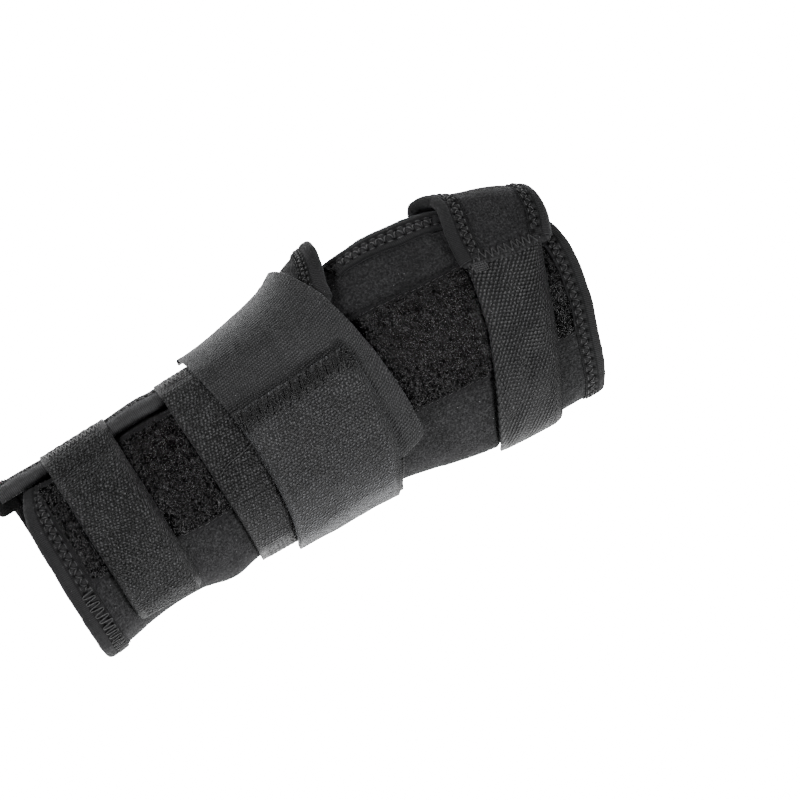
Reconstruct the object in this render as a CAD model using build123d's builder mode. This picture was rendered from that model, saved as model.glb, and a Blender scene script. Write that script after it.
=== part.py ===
from build123d import *
import math
import os

os.makedirs("parts", exist_ok=True)

# Wrist splint for a right hand, closed, lying on its palm side.
# +X runs from the elbow towards the fingers, +Y is the thumb side, +Z is the back of the hand.
# The origin is on the flat resting face of the palm side, under the wrist crease, on the forearm's centreline.

# ---------------------------------------------------------------- driving dimensions, mm
PATTERN_Y = 6.5          # the forearm's centreline, measured in the pattern's own y
NEOPRENE = 3.0           # foam and jersey laminate
LOOP_D = 0.3             # underside of the loop patch above the foam
LOOP_PILE = 1.0         # brushed loop patch
HOOK = 0.75              # moulded hook patch
WEBBING = 1.3            # elastic strap webbing
TAPE = 0.6               # edge binding tape, one leaf
FOLD = 0.22              # air between folded tape and the foam it wraps
SEAM_GAP = 0.3           # opening left at each fabric bend line
HINGE_Z = 13.0           # height of the bend lines on the two sides

POCKET_T = 1.0           # wall of the stay pocket
STAY_T = 1.6             # aluminium stay
TIP_T = 0.35             # wall of its dipped tips
STAY_W = 34.0
STAY_X0, STAY_X1 = -104.0, 84.0
POCKET_W = 46.0
POCKET_X0, POCKET_X1 = -108.0, 92.0
PANEL_BOTTOM = 3.9       # underside of the palm panel, on top of the pocket

PROX_STRAP_X = (-93.5, -66.5)
MID_STRAP_X = (-43.0, -18.0)
STRAP_END_Z = 24.0       # height at which the straps end on the little-finger side

# The sleeve's outer surface, as stations along X:
# (x, y on the little-finger side, y on the thumb side, top z, z of the widest line)
STATIONS = [
    (-122.0, -33.6, 39.9, 58.4, 25.2),
    (-113.0, -33.0, 39.8, 58.0, 25.0),
    (-100.0, -31.3, 39.6, 57.2, 24.8),
    (-80.0, -29.3, 39.5, 56.0, 24.4),
    (-60.0, -30.3, 39.6, 54.6, 24.0),
    (-40.0, -31.2, 39.8, 53.2, 23.6),
    (-25.0, -32.0, 40.6, 52.2, 23.3),
    (-10.0, -32.8, 42.6, 51.2, 22.9),
    (5.0, -33.5, 45.0, 50.2, 22.5),
    (20.0, -35.6, 48.5, 49.0, 22.0),
    (35.0, -39.2, 51.0, 47.6, 21.5),
    (50.0, -42.2, 52.0, 46.0, 21.0),
    (65.0, -44.2, 51.2, 44.4, 20.5),
    (80.0, -45.4, 48.0, 42.8, 20.0),
    (95.0, -46.1, 42.0, 41.4, 19.6),
    (108.0, -46.6, 35.0, 40.4, 19.3),
    (122.0, -47.2, 27.0, 39.4, 19.0),
]
TOP_POWER = 2.35         # how square the top of each cross-section is
CORNER_R = 15.5          # width of each rounded lower corner


# ---------------------------------------------------------------- the sleeve's surface
def curve_through(values, x):
    """Smooth value at x from a list of (x, value), by cubic Hermite pieces."""
    n = len(values)
    i = 0
    while i < n - 2 and x > values[i + 1][0]:
        i += 1

    def slope(k):
        if k == 0:
            return (values[1][1] - values[0][1]) / (values[1][0] - values[0][0])
        if k == n - 1:
            return (values[-1][1] - values[-2][1]) / (values[-1][0] - values[-2][0])
        return (values[k + 1][1] - values[k - 1][1]) / (values[k + 1][0] - values[k - 1][0])

    x0, v0 = values[i]
    x1, v1 = values[i + 1]
    h = x1 - x0
    t = (x - x0) / h
    m0, m1 = slope(i) * h, slope(i + 1) * h
    return (
        (2 * t**3 - 3 * t**2 + 1) * v0
        + (t**3 - 2 * t**2 + t) * m0
        + (-2 * t**3 + 3 * t**2) * v1
        + (t**3 - t**2) * m1
    )


def station(x):
    yu, yr, zt, zw = (curve_through([(s[0], s[k]) for s in STATIONS], x) for k in (1, 2, 3, 4))
    return yu - PATTERN_Y, yr - PATTERN_Y, zt, zw


def on_section(x, s):
    """Point of the cross-section at x. s is 0 on the thumb side, 0.5 at the top, 1 on the little-finger
    side, 1.5 to 2.5 along the flat palm side, and back to 3 on the thumb side."""
    yu, yr, zt, zw = station(x)
    yc, a = (yu + yr) / 2, (yr - yu) / 2
    flat = a - CORNER_R
    depth = zw - PANEL_BOTTOM
    if s < 0:
        s += 3
    if s <= 1:
        c, k = math.cos(math.pi * s), math.sin(math.pi * s)
        p = 2 / TOP_POWER
        return (yc + a * math.copysign(abs(c) ** p, c), zw + (zt - zw) * abs(k) ** p)
    if s <= 1.5:
        g = (s - 1) * math.pi
        return (yc - flat - CORNER_R * math.cos(g), zw - depth * math.sin(g))
    if s <= 2.5:
        return (yc - flat + 2 * flat * (s - 1.5), PANEL_BOTTOM)
    g = (3 - s) * math.pi
    return (yc + flat + CORNER_R * math.cos(g), zw - depth * math.sin(g))


def off_section(x, s, d):
    """The same point moved outwards by d, square to the cross-section."""
    e = 0.004
    y0, z0 = on_section(x, s - e)
    y1, z1 = on_section(x, s + e)
    ty, tz = y1 - y0, z1 - z0
    length = math.hypot(ty, tz)
    y, z = on_section(x, s)
    return (y + d * tz / length, z - d * ty / length)


def s_at_y(x, pattern_y, d=0.0):
    """Where the offset surface stands over a pattern y, on the back of the hand."""
    y = pattern_y - PATTERN_Y
    lo, hi = 0.002, 0.998
    for _ in range(40):
        mid = (lo + hi) / 2
        if off_section(x, mid, d)[0] > y:
            lo = mid
        else:
            hi = mid
    return (lo + hi) / 2


def s_at_z(x, z, thumb_side, d=0.0):
    """Where the offset surface passes height z on one side."""
    lo, hi = (-0.48, 0.45) if thumb_side else (1.48, 0.55)
    for _ in range(40):
        mid = (lo + hi) / 2
        if off_section(x, mid, d)[1] < z:
            lo = mid
        else:
            hi = mid
    return (lo + hi) / 2


def ease(t):
    t = min(1.0, max(0.0, t))
    return t * t * (3 - 2 * t)


def value(d, x, s):
    return d(x, s) if callable(d) else d


def layer_face(x, s_from, s_to, d_in, d_out, points=13):
    """Cross-section of one fabric layer at x, between two places round the sleeve and two offsets."""
    a, b = value(s_from, x, 0), value(s_to, x, 0)
    marks = [a + (b - a) * k / (points - 1) for k in range(points)]
    outer = [off_section(x, s, value(d_out, x, s)) for s in marks]
    inner = [off_section(x, s, value(d_in, x, s)) for s in marks]
    with BuildSketch(Plane(origin=(x, 0, 0), x_dir=(0, 1, 0), z_dir=(1, 0, 0))) as section:
        with BuildLine():
            Spline(*outer)
            Line(outer[-1], inner[-1])
            Spline(*reversed(inner))
            Line(inner[0], outer[0])
        make_face()
    return section.sketch.face()


def stations_between(x0, x1, step=9.0):
    n = max(2, int(round((x1 - x0) / step)) + 1)
    return [x0 + (x1 - x0) * k / (n - 1) for k in range(n)]


def layer_faces(x0, x1, s_from, s_to, d_in, d_out, step=9.0, points=15):
    return [layer_face(x, s_from, s_to, d_in, d_out, points) for x in stations_between(x0, x1, step)]


def plan(*points):
    """Pattern coordinates to the part's own."""
    return [(x, y - PATTERN_Y) for x, y in points]


def surface_plane(x, s, d, turn=0.0):
    """A plane lying on the offset surface, its x axis along the sleeve turned by some degrees."""
    y, z = off_section(x, s, d)
    y0, z0 = off_section(x, s - 0.01, d)
    y1, z1 = off_section(x, s + 0.01, d)
    n = Vector(0, z1 - z0, -(y1 - y0)).normalized()
    xb = off_section(x + 1, s, d)
    along = Vector(1, xb[0] - y, xb[1] - z).normalized()
    n = (n - along * n.dot(along)).normalized()
    side = n.cross(along)
    t = math.radians(turn)
    return Plane(origin=(x, y, z), x_dir=along * math.cos(t) + side * math.sin(t), z_dir=n)


# ---------------------------------------------------------------- palm side
def hinge_low(thumb_side):
    return lambda x, s: s_at_z(x, HINGE_Z - SEAM_GAP / 2, thumb_side, -1.5) if not thumb_side else 3 + s_at_z(
        x, HINGE_Z - SEAM_GAP / 2, thumb_side, -1.5
    )


def hinge_high(thumb_side):
    return lambda x, s: s_at_z(x, HINGE_Z + SEAM_GAP / 2, thumb_side, -1.5)


PALM_X0, PALM_X1 = -111.5, 108.0
PALM_EDGE = plan((-130, -70), (95.0, -70), (97.5, -44), (100, -30), (103, -15), (105, 0), (106, 12), (106, 24), (104, 38), (100, 70), (-130, 70))

with BuildPart() as volar_panel:
    loft(layer_faces(PALM_X0, PALM_X1, hinge_low(False), hinge_low(True), -NEOPRENE, 0.0, points=23))
    with BuildSketch(Plane.XY.offset(-5)):
        with BuildLine():
            Polyline(*PALM_EDGE, close=True)
        make_face()
    extrude(amount=60, mode=Mode.INTERSECT)
    # the scoop under the thumb
    with BuildSketch(Plane.XZ.offset(-60)):
        with Locations((56, 18)):
            RectangleRounded(38, 19, 7)
    extrude(amount=32, mode=Mode.SUBTRACT)
volar_panel.part.label = "volar_panel"

# folded tape round the elbow end and the palm end of the palm panel
with BuildPart() as palm_proximal_core:
    loft(layer_faces(PALM_X0 - FOLD, PALM_X0 + 12, lambda x, s: hinge_low(False)(x, s) - 0.05, lambda x, s: hinge_low(True)(x, s) + 0.05, -NEOPRENE - FOLD, FOLD, 4, 23))
with BuildPart() as volar_proximal_binding:
    loft(layer_faces(PALM_X0 - FOLD - TAPE, PALM_X0 + 7, hinge_low(False), hinge_low(True), -NEOPRENE - FOLD - TAPE, FOLD + TAPE, 4, 23))
    add(palm_proximal_core.part, mode=Mode.SUBTRACT)
    # the tape stops each side of the pocket's mouth
    with BuildSketch(Plane.XY.offset(-1)):
        with Locations((PALM_X0, 0)):
            Rectangle(40, POCKET_W + 1)
    extrude(amount=PANEL_BOTTOM + 1.0, mode=Mode.SUBTRACT)
volar_proximal_binding.part.label = "volar_proximal_binding"

with BuildPart() as palm_distal_core:
    loft(layer_faces(80, PALM_X1 + 2, lambda x, s: hinge_low(False)(x, s) - 0.05, lambda x, s: hinge_low(True)(x, s) + 0.05, -NEOPRENE - FOLD, FOLD, 6, 23))
    with BuildSketch(Plane.XY.offset(-5)):
        with BuildLine():
            Polyline(*[(x + 2 * FOLD if x > 50 else x, y) for x, y in PALM_EDGE], close=True)
        make_face()
    extrude(amount=60, mode=Mode.INTERSECT)
with BuildPart() as volar_distal_binding:
    loft(layer_faces(82, PALM_X1 + 2, hinge_low(False), hinge_low(True), -NEOPRENE - FOLD - TAPE, FOLD + TAPE, 6, 23))
    with BuildSketch(Plane.XY.offset(-5)):
        with BuildLine():
            Polyline(*[(x + 2 * FOLD + TAPE if x > 50 else x, y) for x, y in PALM_EDGE], close=True)
        make_face()
        with BuildLine():
            Polyline(*[(x - 7 if x > 50 else x, y * 1.2) for x, y in PALM_EDGE], close=True)
        make_face(mode=Mode.SUBTRACT)
    extrude(amount=60, mode=Mode.INTERSECT)
    add(palm_distal_core.part, mode=Mode.SUBTRACT)
volar_distal_binding.part.label = "volar_distal_binding"

# pocket for the stay: an outer wall, two side lips and a closed palm end, open at the elbow end
POCKET_LEN = POCKET_X1 - POCKET_X0
with BuildPart() as stay_pocket:
    with BuildSketch(Plane.XY):
        with Locations(((POCKET_X0 + POCKET_X1) / 2, 0)):
            RectangleRounded(POCKET_LEN, POCKET_W, 6)
    extrude(amount=PANEL_BOTTOM - 0.4)
    with BuildSketch(Plane.XY.offset(POCKET_T)):
        with Locations(((POCKET_X0 - 2 + STAY_X1 + 1.5) / 2 - 4, 0)):
            Rectangle(STAY_X1 + 1.5 - POCKET_X0 + 2 + 8, STAY_W + 3.0)
    extrude(amount=PANEL_BOTTOM, mode=Mode.SUBTRACT)
stay_pocket.part.label = "stay_pocket"

STAY_Z = POCKET_T + 0.15 + TIP_T + 0.05
with BuildPart() as palm_stay:
    with BuildSketch(Plane.XY.offset(STAY_Z)):
        with Locations(((STAY_X0 + STAY_X1) / 2, 0)):
            RectangleRounded(STAY_X1 - STAY_X0, STAY_W, 12)
    extrude(amount=STAY_T)
    with Locations((STAY_X0 + 22, 0, STAY_Z + STAY_T), (STAY_X1 - 22, 0, STAY_Z + STAY_T)):
        Hole(radius=2.0)
palm_stay.part.label = "palm_stay"

# soft dipped tips that keep the stay's ends off the skin
TIP_LEN = 13.0
with BuildPart() as stay_tip_proximal:
    with BuildSketch(Plane.XY.offset(STAY_Z - 0.05 - TIP_T)):
        with Locations(((STAY_X0 + STAY_X1) / 2, 0)):
            RectangleRounded(STAY_X1 - STAY_X0 + 1.0, STAY_W + 1.0, 12.5)
        with Locations(((STAY_X0 + TIP_LEN + STAY_X1 + 20) / 2, 0)):
            Rectangle(STAY_X1 + 20 - STAY_X0 - TIP_LEN, STAY_W + 10, mode=Mode.SUBTRACT)
    extrude(amount=STAY_T + 0.1 + 2 * TIP_T)
    with BuildSketch(Plane.XY.offset(STAY_Z - 0.05)):
        with Locations(((STAY_X0 + STAY_X1) / 2, 0)):
            RectangleRounded(STAY_X1 - STAY_X0 + 0.1, STAY_W + 0.1, 12.05)
    extrude(amount=STAY_T + 0.1, mode=Mode.SUBTRACT)
stay_tip_proximal.part.label = "stay_tip_proximal"
with BuildPart() as stay_tip_distal:
    add(mirror(stay_tip_proximal.part, about=Plane.YZ.offset((STAY_X0 + STAY_X1) / 2), mode=Mode.PRIVATE))
stay_tip_distal.part.label = "stay_tip_distal"

# ---------------------------------------------------------------- back of the hand
DORSAL_X0 = -113.5
DORSAL_TUCK_Z = [(-122, 36), (-60, 34), (-20, 32), (20, 31), (35, 31), (50, 30.5), (65, 30.5), (78, 29), (95, 27), (122, 25)]
DORSAL_EDGE = plan(
    (-130, -80), (98.0, -80), (98.0, -47.5), (101, -44), (107, -30), (113, -15), (117, 0), (118.5, 10), (116.5, 20), (112, 34), (100, 60), (-112, 60), (-130, 60)
)


def dorsal_tuck(x, s):
    return s_at_z(x, curve_through(DORSAL_TUCK_Z, x), True)


def grown(points, by):
    return [(x + by if x > 50 else x, y) for x, y in points]


with BuildPart() as dorsal_panel:
    loft(layer_faces(DORSAL_X0, 121, dorsal_tuck, hinge_high(False), -NEOPRENE, 0.0, points=15))
    with BuildSketch(Plane.XY.offset(5)):
        with BuildLine():
            Polyline(*DORSAL_EDGE, close=True)
        make_face()
    extrude(amount=70, mode=Mode.INTERSECT)
dorsal_panel.part.label = "dorsal_panel"

with BuildPart() as dorsal_proximal_core:
    loft(layer_faces(DORSAL_X0 - FOLD, DORSAL_X0 + 12, lambda x, s: dorsal_tuck(x, s) - 0.03, lambda x, s: hinge_high(False)(x, s) + 0.03, -NEOPRENE - FOLD, FOLD, 4, 15))
with BuildPart() as dorsal_proximal_binding:
    loft(layer_faces(DORSAL_X0 - FOLD - TAPE, DORSAL_X0 + 8.5, dorsal_tuck, hinge_high(False), -NEOPRENE - FOLD - TAPE, FOLD + TAPE, 4, 15))
    add(dorsal_proximal_core.part, mode=Mode.SUBTRACT)
dorsal_proximal_binding.part.label = "dorsal_proximal_binding"

with BuildPart() as dorsal_distal_core:
    loft(layer_faces(80, 122, lambda x, s: dorsal_tuck(x, s) - 0.03, lambda x, s: hinge_high(False)(x, s) + 0.03, -NEOPRENE - FOLD, FOLD, 6, 15))
    with BuildSketch(Plane.XY.offset(5)):
        with BuildLine():
            Polyline(*grown(DORSAL_EDGE, FOLD), close=True)
        make_face()
    extrude(amount=70, mode=Mode.INTERSECT)
with BuildPart() as dorsal_distal_binding:
    loft(layer_faces(82, 122, dorsal_tuck, hinge_high(False), -NEOPRENE - FOLD - TAPE, FOLD + TAPE, 6, 15))
    with BuildSketch(Plane.XY.offset(5)):
        with BuildLine():
            Polyline(*grown(DORSAL_EDGE, FOLD + TAPE), close=True)
        make_face()
        with BuildLine():
            Polyline(*[(x - 8 if x > 50 else x - 10, y * 1.2) for x, y in DORSAL_EDGE], close=True)
        make_face(mode=Mode.SUBTRACT)
    extrude(amount=70, mode=Mode.INTERSECT)
    add(dorsal_distal_core.part, mode=Mode.SUBTRACT)
dorsal_distal_binding.part.label = "dorsal_distal_binding"

# tape along the free edge over the thumb
ARC_X0, ARC_X1 = 37.5, 84.0
with BuildPart() as thumb_arc_core:
    loft(layer_faces(ARC_X0 - 1, ARC_X1 + 1, lambda x, s: dorsal_tuck(x, s) - 0.0065, lambda x, s: dorsal_tuck(x, s) + 0.25, -NEOPRENE - FOLD, FOLD, 5, 9))
with BuildPart() as thumb_arc_binding:
    loft(layer_faces(ARC_X0, ARC_X1, lambda x, s: dorsal_tuck(x, s) - 0.0155, lambda x, s: s_at_y(x, off_section(x, dorsal_tuck(x, 0), 0)[0] + PATTERN_Y - 7.5), -NEOPRENE - FOLD - TAPE, FOLD + TAPE, 5, 9))
    add(thumb_arc_core.part, mode=Mode.SUBTRACT)
thumb_arc_binding.part.label = "thumb_arc_binding"

# long brushed loop strip that every strap grips
LOOP_STRIP = plan((-102.5, 36.0), (-102.5, -6.5), (-60, -10.0), (0, -14.0), (34, -16.5), (68, -20), (106, -23.2), (110.5, -12), (111.5, 0), (111, 18.0), (80, 22.5), (31, 28), (0, 30.5), (-45, 34))
with BuildPart() as dorsal_loop_patch:
    loft(layer_faces(-104.4, 112, lambda x, s: s_at_y(x, 40), lambda x, s: s_at_y(x, -27), LOOP_D, LOOP_D + LOOP_PILE, points=15))
    with BuildSketch(Plane.XY.offset(20)):
        with BuildLine():
            Polyline(*LOOP_STRIP, close=True)
        make_face()
    extrude(amount=70, mode=Mode.INTERSECT)
    add(dorsal_distal_binding.part, mode=Mode.SUBTRACT)
    with BuildSketch(Plane.XY.offset(20)):
        with BuildLine():
            Polyline(*[(x - 8.4 if x > 50 else x - 10, y * 1.2) for x, y in DORSAL_EDGE], close=True)
        make_face()
    extrude(amount=70, mode=Mode.INTERSECT)
dorsal_loop_patch.part.label = "dorsal_loop_patch"

# ---------------------------------------------------------------- thumb-side flap over the forearm
FLAP_X0, FLAP_X1 = -117.0, 34.5
FLAP_IN = 2.1           # it lies over the dorsal panel and the loop strip
FLAP_EDGE_Y = [(-122, 38.0), (-60, 37.5), (-25, 36.5), (0, 36.0), (20, 36.0), (36, 37.5)]
FLARE = [(-122, 0.0), (-5, 0.0), (8, 0.5), (14, 1.6), (20, 3.4), (26, 4.4), (31, 5.2), (36, 5.6)]


def flap_lift(x, s):
    """The flap leaves the palm panel flush, rises over the dorsal panel, and flares round the thumb's root."""
    low = s_at_z(x, HINGE_Z, True)
    rise = ease((s - low) / 0.2)
    side = 1 - ease((s - 0.10) / 0.22)
    return -NEOPRENE + (FLAP_IN + NEOPRENE) * rise + curve_through(FLARE, x) * side * ease((s - low) / 0.12)


def flap_top(x, s):
    return flap_lift(x, s) + NEOPRENE


def flap_edge(x, s):
    return s_at_y(x, curve_through(FLAP_EDGE_Y, x), FLAP_IN)


with BuildPart() as radial_flap:
    loft(layer_faces(FLAP_X0, FLAP_X1, hinge_high(True), flap_edge, flap_lift, flap_top, 6, 15))
radial_flap.part.label = "radial_flap"

# rolled tape along the flap's long edge
with BuildPart() as flap_edge_core:
    loft(layer_faces(FLAP_X0 - 1, FLAP_X1 + 1, lambda x, s: flap_edge(x, s) - 0.2, lambda x, s: flap_edge(x, s) + 0.003, lambda x, s: flap_lift(x, s) - FOLD, lambda x, s: flap_top(x, s) + FOLD, 6, 9))
with BuildPart() as flap_edge_binding:
    loft(
        layer_faces(
            FLAP_X0 + 9.0, FLAP_X1 - 8.6, lambda x, s: flap_edge(x, s) - 0.05, lambda x, s: flap_edge(x, s) + 0.011,
            lambda x, s: flap_lift(x, s) - FOLD - 0.35, lambda x, s: flap_top(x, s) + FOLD + 0.35, 6, 9,
        )
    )
    add(flap_edge_core.part, mode=Mode.SUBTRACT)
flap_edge_binding.part.label = "flap_edge_binding"


def flap_ring(x0, x1, extra, step=4):
    return layer_faces(x0, x1, hinge_high(True), flap_edge, lambda x, s: flap_lift(x, s) - extra, lambda x, s: flap_top(x, s) + extra, step, 13)


with BuildPart() as flap_proximal_core:
    loft(layer_faces(FLAP_X0 - FOLD, FLAP_X0 + 12, lambda x, s: hinge_high(True)(x, s) - 0.05, lambda x, s: flap_edge(x, s) + 0.05, lambda x, s: flap_lift(x, s) - FOLD, lambda x, s: flap_top(x, s) + FOLD, 4, 13))
with BuildPart() as flap_proximal_binding:
    loft(flap_ring(FLAP_X0 - FOLD - TAPE, FLAP_X0 + 8, FOLD + 0.35))
    add(flap_proximal_core.part, mode=Mode.SUBTRACT)
flap_proximal_binding.part.label = "flap_proximal_binding"

with BuildPart() as thumb_base_core:
    loft(layer_faces(FLAP_X1 - 12, FLAP_X1 + FOLD, lambda x, s: hinge_high(True)(x, s) - 0.05, lambda x, s: flap_edge(x, s) + 0.05, lambda x, s: flap_lift(x, s) - FOLD - 0.14, lambda x, s: flap_top(x, s) + FOLD + 0.14, 3, 15))
with BuildPart() as thumb_base_binding:
    loft(flap_ring(FLAP_X1 - 7.6, FLAP_X1 + FOLD + TAPE, FOLD + 0.5, 3))
    add(thumb_base_core.part, mode=Mode.SUBTRACT)
thumb_base_binding.part.label = "thumb_base_binding"

# ---------------------------------------------------------------- narrow forearm straps
STRAP_ROOT_Y = 43.6
STRAP_FLAP_D = FLAP_IN + NEOPRENE + 0.9     # over the flap and its tape
STRAP_LOW_D = LOOP_D + LOOP_PILE + 0.2 + HOOK + 0.1


def strap_lift(x, s):
    edge = flap_edge(x, s)
    down = ease((s - edge - 0.015) / 0.075)
    return STRAP_FLAP_D + (STRAP_LOW_D - STRAP_FLAP_D) * down


def strap_top(x, s):
    return strap_lift(x, s) + WEBBING


def strap_root(x, s):
    return s_at_y(x, STRAP_ROOT_Y, STRAP_FLAP_D)


def strap_end(x, s):
    return s_at_z(x, STRAP_END_Z, False, 2.0)


with BuildPart() as proximal_strap:
    loft(layer_faces(*PROX_STRAP_X, strap_root, strap_end, strap_lift, strap_top, 13, 25))
proximal_strap.part.label = "proximal_strap"

with BuildPart() as mid_strap:
    loft(layer_faces(*MID_STRAP_X, strap_root, strap_end, strap_lift, strap_top, 12, 25))
mid_strap.part.label = "mid_strap"

HOOK_D = LOOP_D + LOOP_PILE + 0.2


def hook_faces(x0, x1, y_from, y_to, lift, inset=1.5):
    return layer_faces(x0 + inset, x1 - inset, lambda x, s: s_at_y(x, y_from, 2), lambda x, s: s_at_y(x, y_to, 2), lambda x, s: lift(x, s) - 0.1 - HOOK, lambda x, s: lift(x, s) - 0.1, 12, 9)


with BuildPart() as proximal_strap_hook:
    loft(hook_faces(*PROX_STRAP_X, 12.0, -25.0, strap_lift))
proximal_strap_hook.part.label = "proximal_strap_hook"

with BuildPart() as mid_strap_hook:
    loft(hook_faces(*MID_STRAP_X, 12.0, -26.0, strap_lift))
mid_strap_hook.part.label = "mid_strap_hook"

# ---------------------------------------------------------------- wide wrist wrap and its fastening tab
WRAP_T = 1.4
WRAP_ROOT_Z = 19.0
WRAP_OUTLINE = plan((-30.5, 70), (-29.5, 48), (-26, 30), (-24, 15), (-24, -27.5), (21, -27.5), (33, -24), (34, -10), (33, 10), (31, 25), (27, 40), (20, 50), (14.5, 55), (14.5, 70))


def wrap_lift(x, s):
    over = flap_top(x, max(s, 0.0)) + 1.3 + WEBBING
    down = ease((s - flap_edge(x, s)) / 0.14)
    return over + (STRAP_LOW_D + WEBBING + 0.3 - over) * down


def wrap_top(x, s):
    return wrap_lift(x, s) + WRAP_T


with BuildPart() as wrist_wrap:
    loft(layer_faces(-31, 34.5, lambda x, s: s_at_z(x, WRAP_ROOT_Z, True, 7), lambda x, s: s_at_y(x, -29, 4), wrap_lift, wrap_top, 8, 25))
    with BuildSketch(Plane.XY.offset(5)):
        with BuildLine():
            Polyline(*WRAP_OUTLINE, close=True)
        make_face()
    extrude(amount=80, mode=Mode.INTERSECT)
wrist_wrap.part.label = "wrist_wrap"

TAB_T = 1.5
TAB_ROOT_Y = 19.0
TAB_END_Z = 22.0
TAB_OUTLINE = plan((-24, 40), (-24, -5), (-26, -25), (-29, -50), (13, -50), (15, -37), (20, -28), (23, -20), (25, 0), (25, 40))


def tab_lift(x, s):
    high = STRAP_LOW_D + WEBBING + 0.3 + WRAP_T + 0.3
    end = s_at_y(x, -30.5, 5)
    down = ease((s - end) / 0.12)
    return high + (4.1 - high) * down


def tab_top(x, s):
    return tab_lift(x, s) + TAB_T


with BuildPart() as wrap_tab:
    loft(layer_faces(-29, 26, lambda x, s: s_at_y(x, TAB_ROOT_Y, 6), lambda x, s: s_at_z(x, TAB_END_Z, False, 4), tab_lift, tab_top, 8, 21))
    with BuildSketch(Plane.XY.offset(5)):
        with BuildLine():
            Polyline(*TAB_OUTLINE, close=True)
        make_face()
    extrude(amount=80, mode=Mode.INTERSECT)
wrap_tab.part.label = "wrap_tab"

with BuildPart() as wrap_tab_hook:
    loft(layer_faces(-15, 14.0, lambda x, s: s_at_y(x, -32.0, 4), lambda x, s: s_at_z(x, TAB_END_Z + 0.8, False, 4), lambda x, s: tab_lift(x, s) - 0.1 - HOOK, lambda x, s: tab_lift(x, s) - 0.1, 10, 7))
wrap_tab_hook.part.label = "wrap_tab_hook"

# ---------------------------------------------------------------- tab through the thumb web, and the hand strap
WEB_IN = 2.2
WEB_HINGE_X = (76.0, 117.0)
WEB_OUTLINE = plan((72.5, 70), (75, 50), (82, 45), (84.5, 36), (83, 28), (82.5, 22.3), (100, 17.3), (110.5, 16.3), (114.5, 15.5), (118.6, 25), (118.6, 32), (116.5, 50), (112, 70))


def web_lift(x, s):
    low = s_at_z(x, HINGE_Z, True)
    return -NEOPRENE + (WEB_IN + NEOPRENE) * ease((s - low) / 0.2)


def web_top(x, s):
    return web_lift(x, s) + NEOPRENE


def web_faces(x0, x1, extra=0.0, wide=0.0, step=8):
    return layer_faces(x0, x1, lambda x, s: hinge_high(True)(x, s) - wide, lambda x, s: s_at_y(x, 10, 3), lambda x, s: web_lift(x, s) - extra, lambda x, s: web_top(x, s) + extra, step, 17)


with BuildPart() as thumb_web_tab:
    loft(web_faces(72, 120))
    with BuildSketch(Plane.XY.offset(5)):
        with BuildLine():
            Polyline(*WEB_OUTLINE, close=True)
        make_face()
    extrude(amount=70, mode=Mode.INTERSECT)
thumb_web_tab.part.label = "thumb_web_tab"

# tapes on the tab's two free edges: thumb side of the web, and finger side
with BuildPart() as web_core:
    loft(web_faces(71, 121, FOLD, 0.05))
    with BuildSketch(Plane.XY.offset(5)):
        with BuildLine():
            Polyline(*[(x - FOLD if x < 100 else x + FOLD, y) for x, y in WEB_OUTLINE], close=True)
        make_face()
    extrude(amount=70, mode=Mode.INTERSECT)
with BuildPart() as web_tab_proximal_binding:
    loft(web_faces(71, 96, FOLD + TAPE))
    with BuildSketch(Plane.XY.offset(5)):
        with BuildLine():
            Polyline(*plan((71.9, 70), (74.4, 50), (81.3, 45), (83.8, 36), (82.3, 28), (81.9, 22.8), (89, 20.9), (90.5, 28), (92.0, 38), (90, 45), (84, 52), (81, 70)), close=True)
        make_face()
    extrude(amount=70, mode=Mode.INTERSECT)
    add(web_core.part, mode=Mode.SUBTRACT)
web_tab_proximal_binding.part.label = "web_tab_proximal_binding"
with BuildPart() as web_tab_distal_binding:
    loft(web_faces(102, 121, FOLD + 0.36))
    with BuildSketch(Plane.XY.offset(5)):
        with BuildLine():
            Polyline(*plan((105, 70), (108, 50), (111, 34), (111, 26), (109.5, 17.0), (114.8, 15.6), (119.3, 25), (119.3, 32), (117.2, 50), (113, 70)), close=True)
        make_face()
    extrude(amount=70, mode=Mode.INTERSECT)
    add(web_core.part, mode=Mode.SUBTRACT)
web_tab_distal_binding.part.label = "web_tab_distal_binding"

HAND_OUTLINE = plan((82.0, 21.9), (75, -5), (66, -25), (59, -40), (56, -60), (80, -60), (83.5, -45), (92, -30), (100, -12), (107, 5), (110.5, 13), (110.3, 15.9), (100, 16.9))


def hand_lift(x, s):
    root = s_at_y(x, 19, 4)
    down = ease((s - root - 0.02) / 0.10)
    high = WEB_IN + 1.4
    return high + (STRAP_LOW_D - high) * down


with BuildPart() as hand_strap:
    loft(layer_faces(54, 112, lambda x, s: s_at_y(x, 26, 4), lambda x, s: s_at_z(x, 20.5, False, 3), hand_lift, lambda x, s: hand_lift(x, s) + WEBBING, 6, 23))
    with BuildSketch(Plane.XY.offset(5)):
        with BuildLine():
            Polyline(*HAND_OUTLINE, close=True)
        make_face()
    extrude(amount=70, mode=Mode.INTERSECT)
hand_strap.part.label = "hand_strap"

with BuildPart() as hand_strap_hook:
    loft(layer_faces(58, 100, lambda x, s: s_at_y(x, 6, 3), lambda x, s: s_at_y(x, -42, 3), lambda x, s: hand_lift(x, s) - 0.1 - HOOK, lambda x, s: hand_lift(x, s) - 0.1, 10, 13))
    with BuildSketch(Plane.XY.offset(5)):
        with BuildLine():
            Polyline(*plan((76.5, -6), (67.5, -26), (62.5, -38), (85, -38), (90.5, -29), (98.3, -12), (102, -3)), close=True)
        make_face()
    extrude(amount=70, mode=Mode.INTERSECT)
hand_strap_hook.part.label = "hand_strap_hook"

# ---------------------------------------------------------------- sewing threads, each stitch its own short solid
THREAD = 0.45


def spread(a, b, n):
    return [a + (b - a) * k / (n - 1) for k in range(n)]


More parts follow.
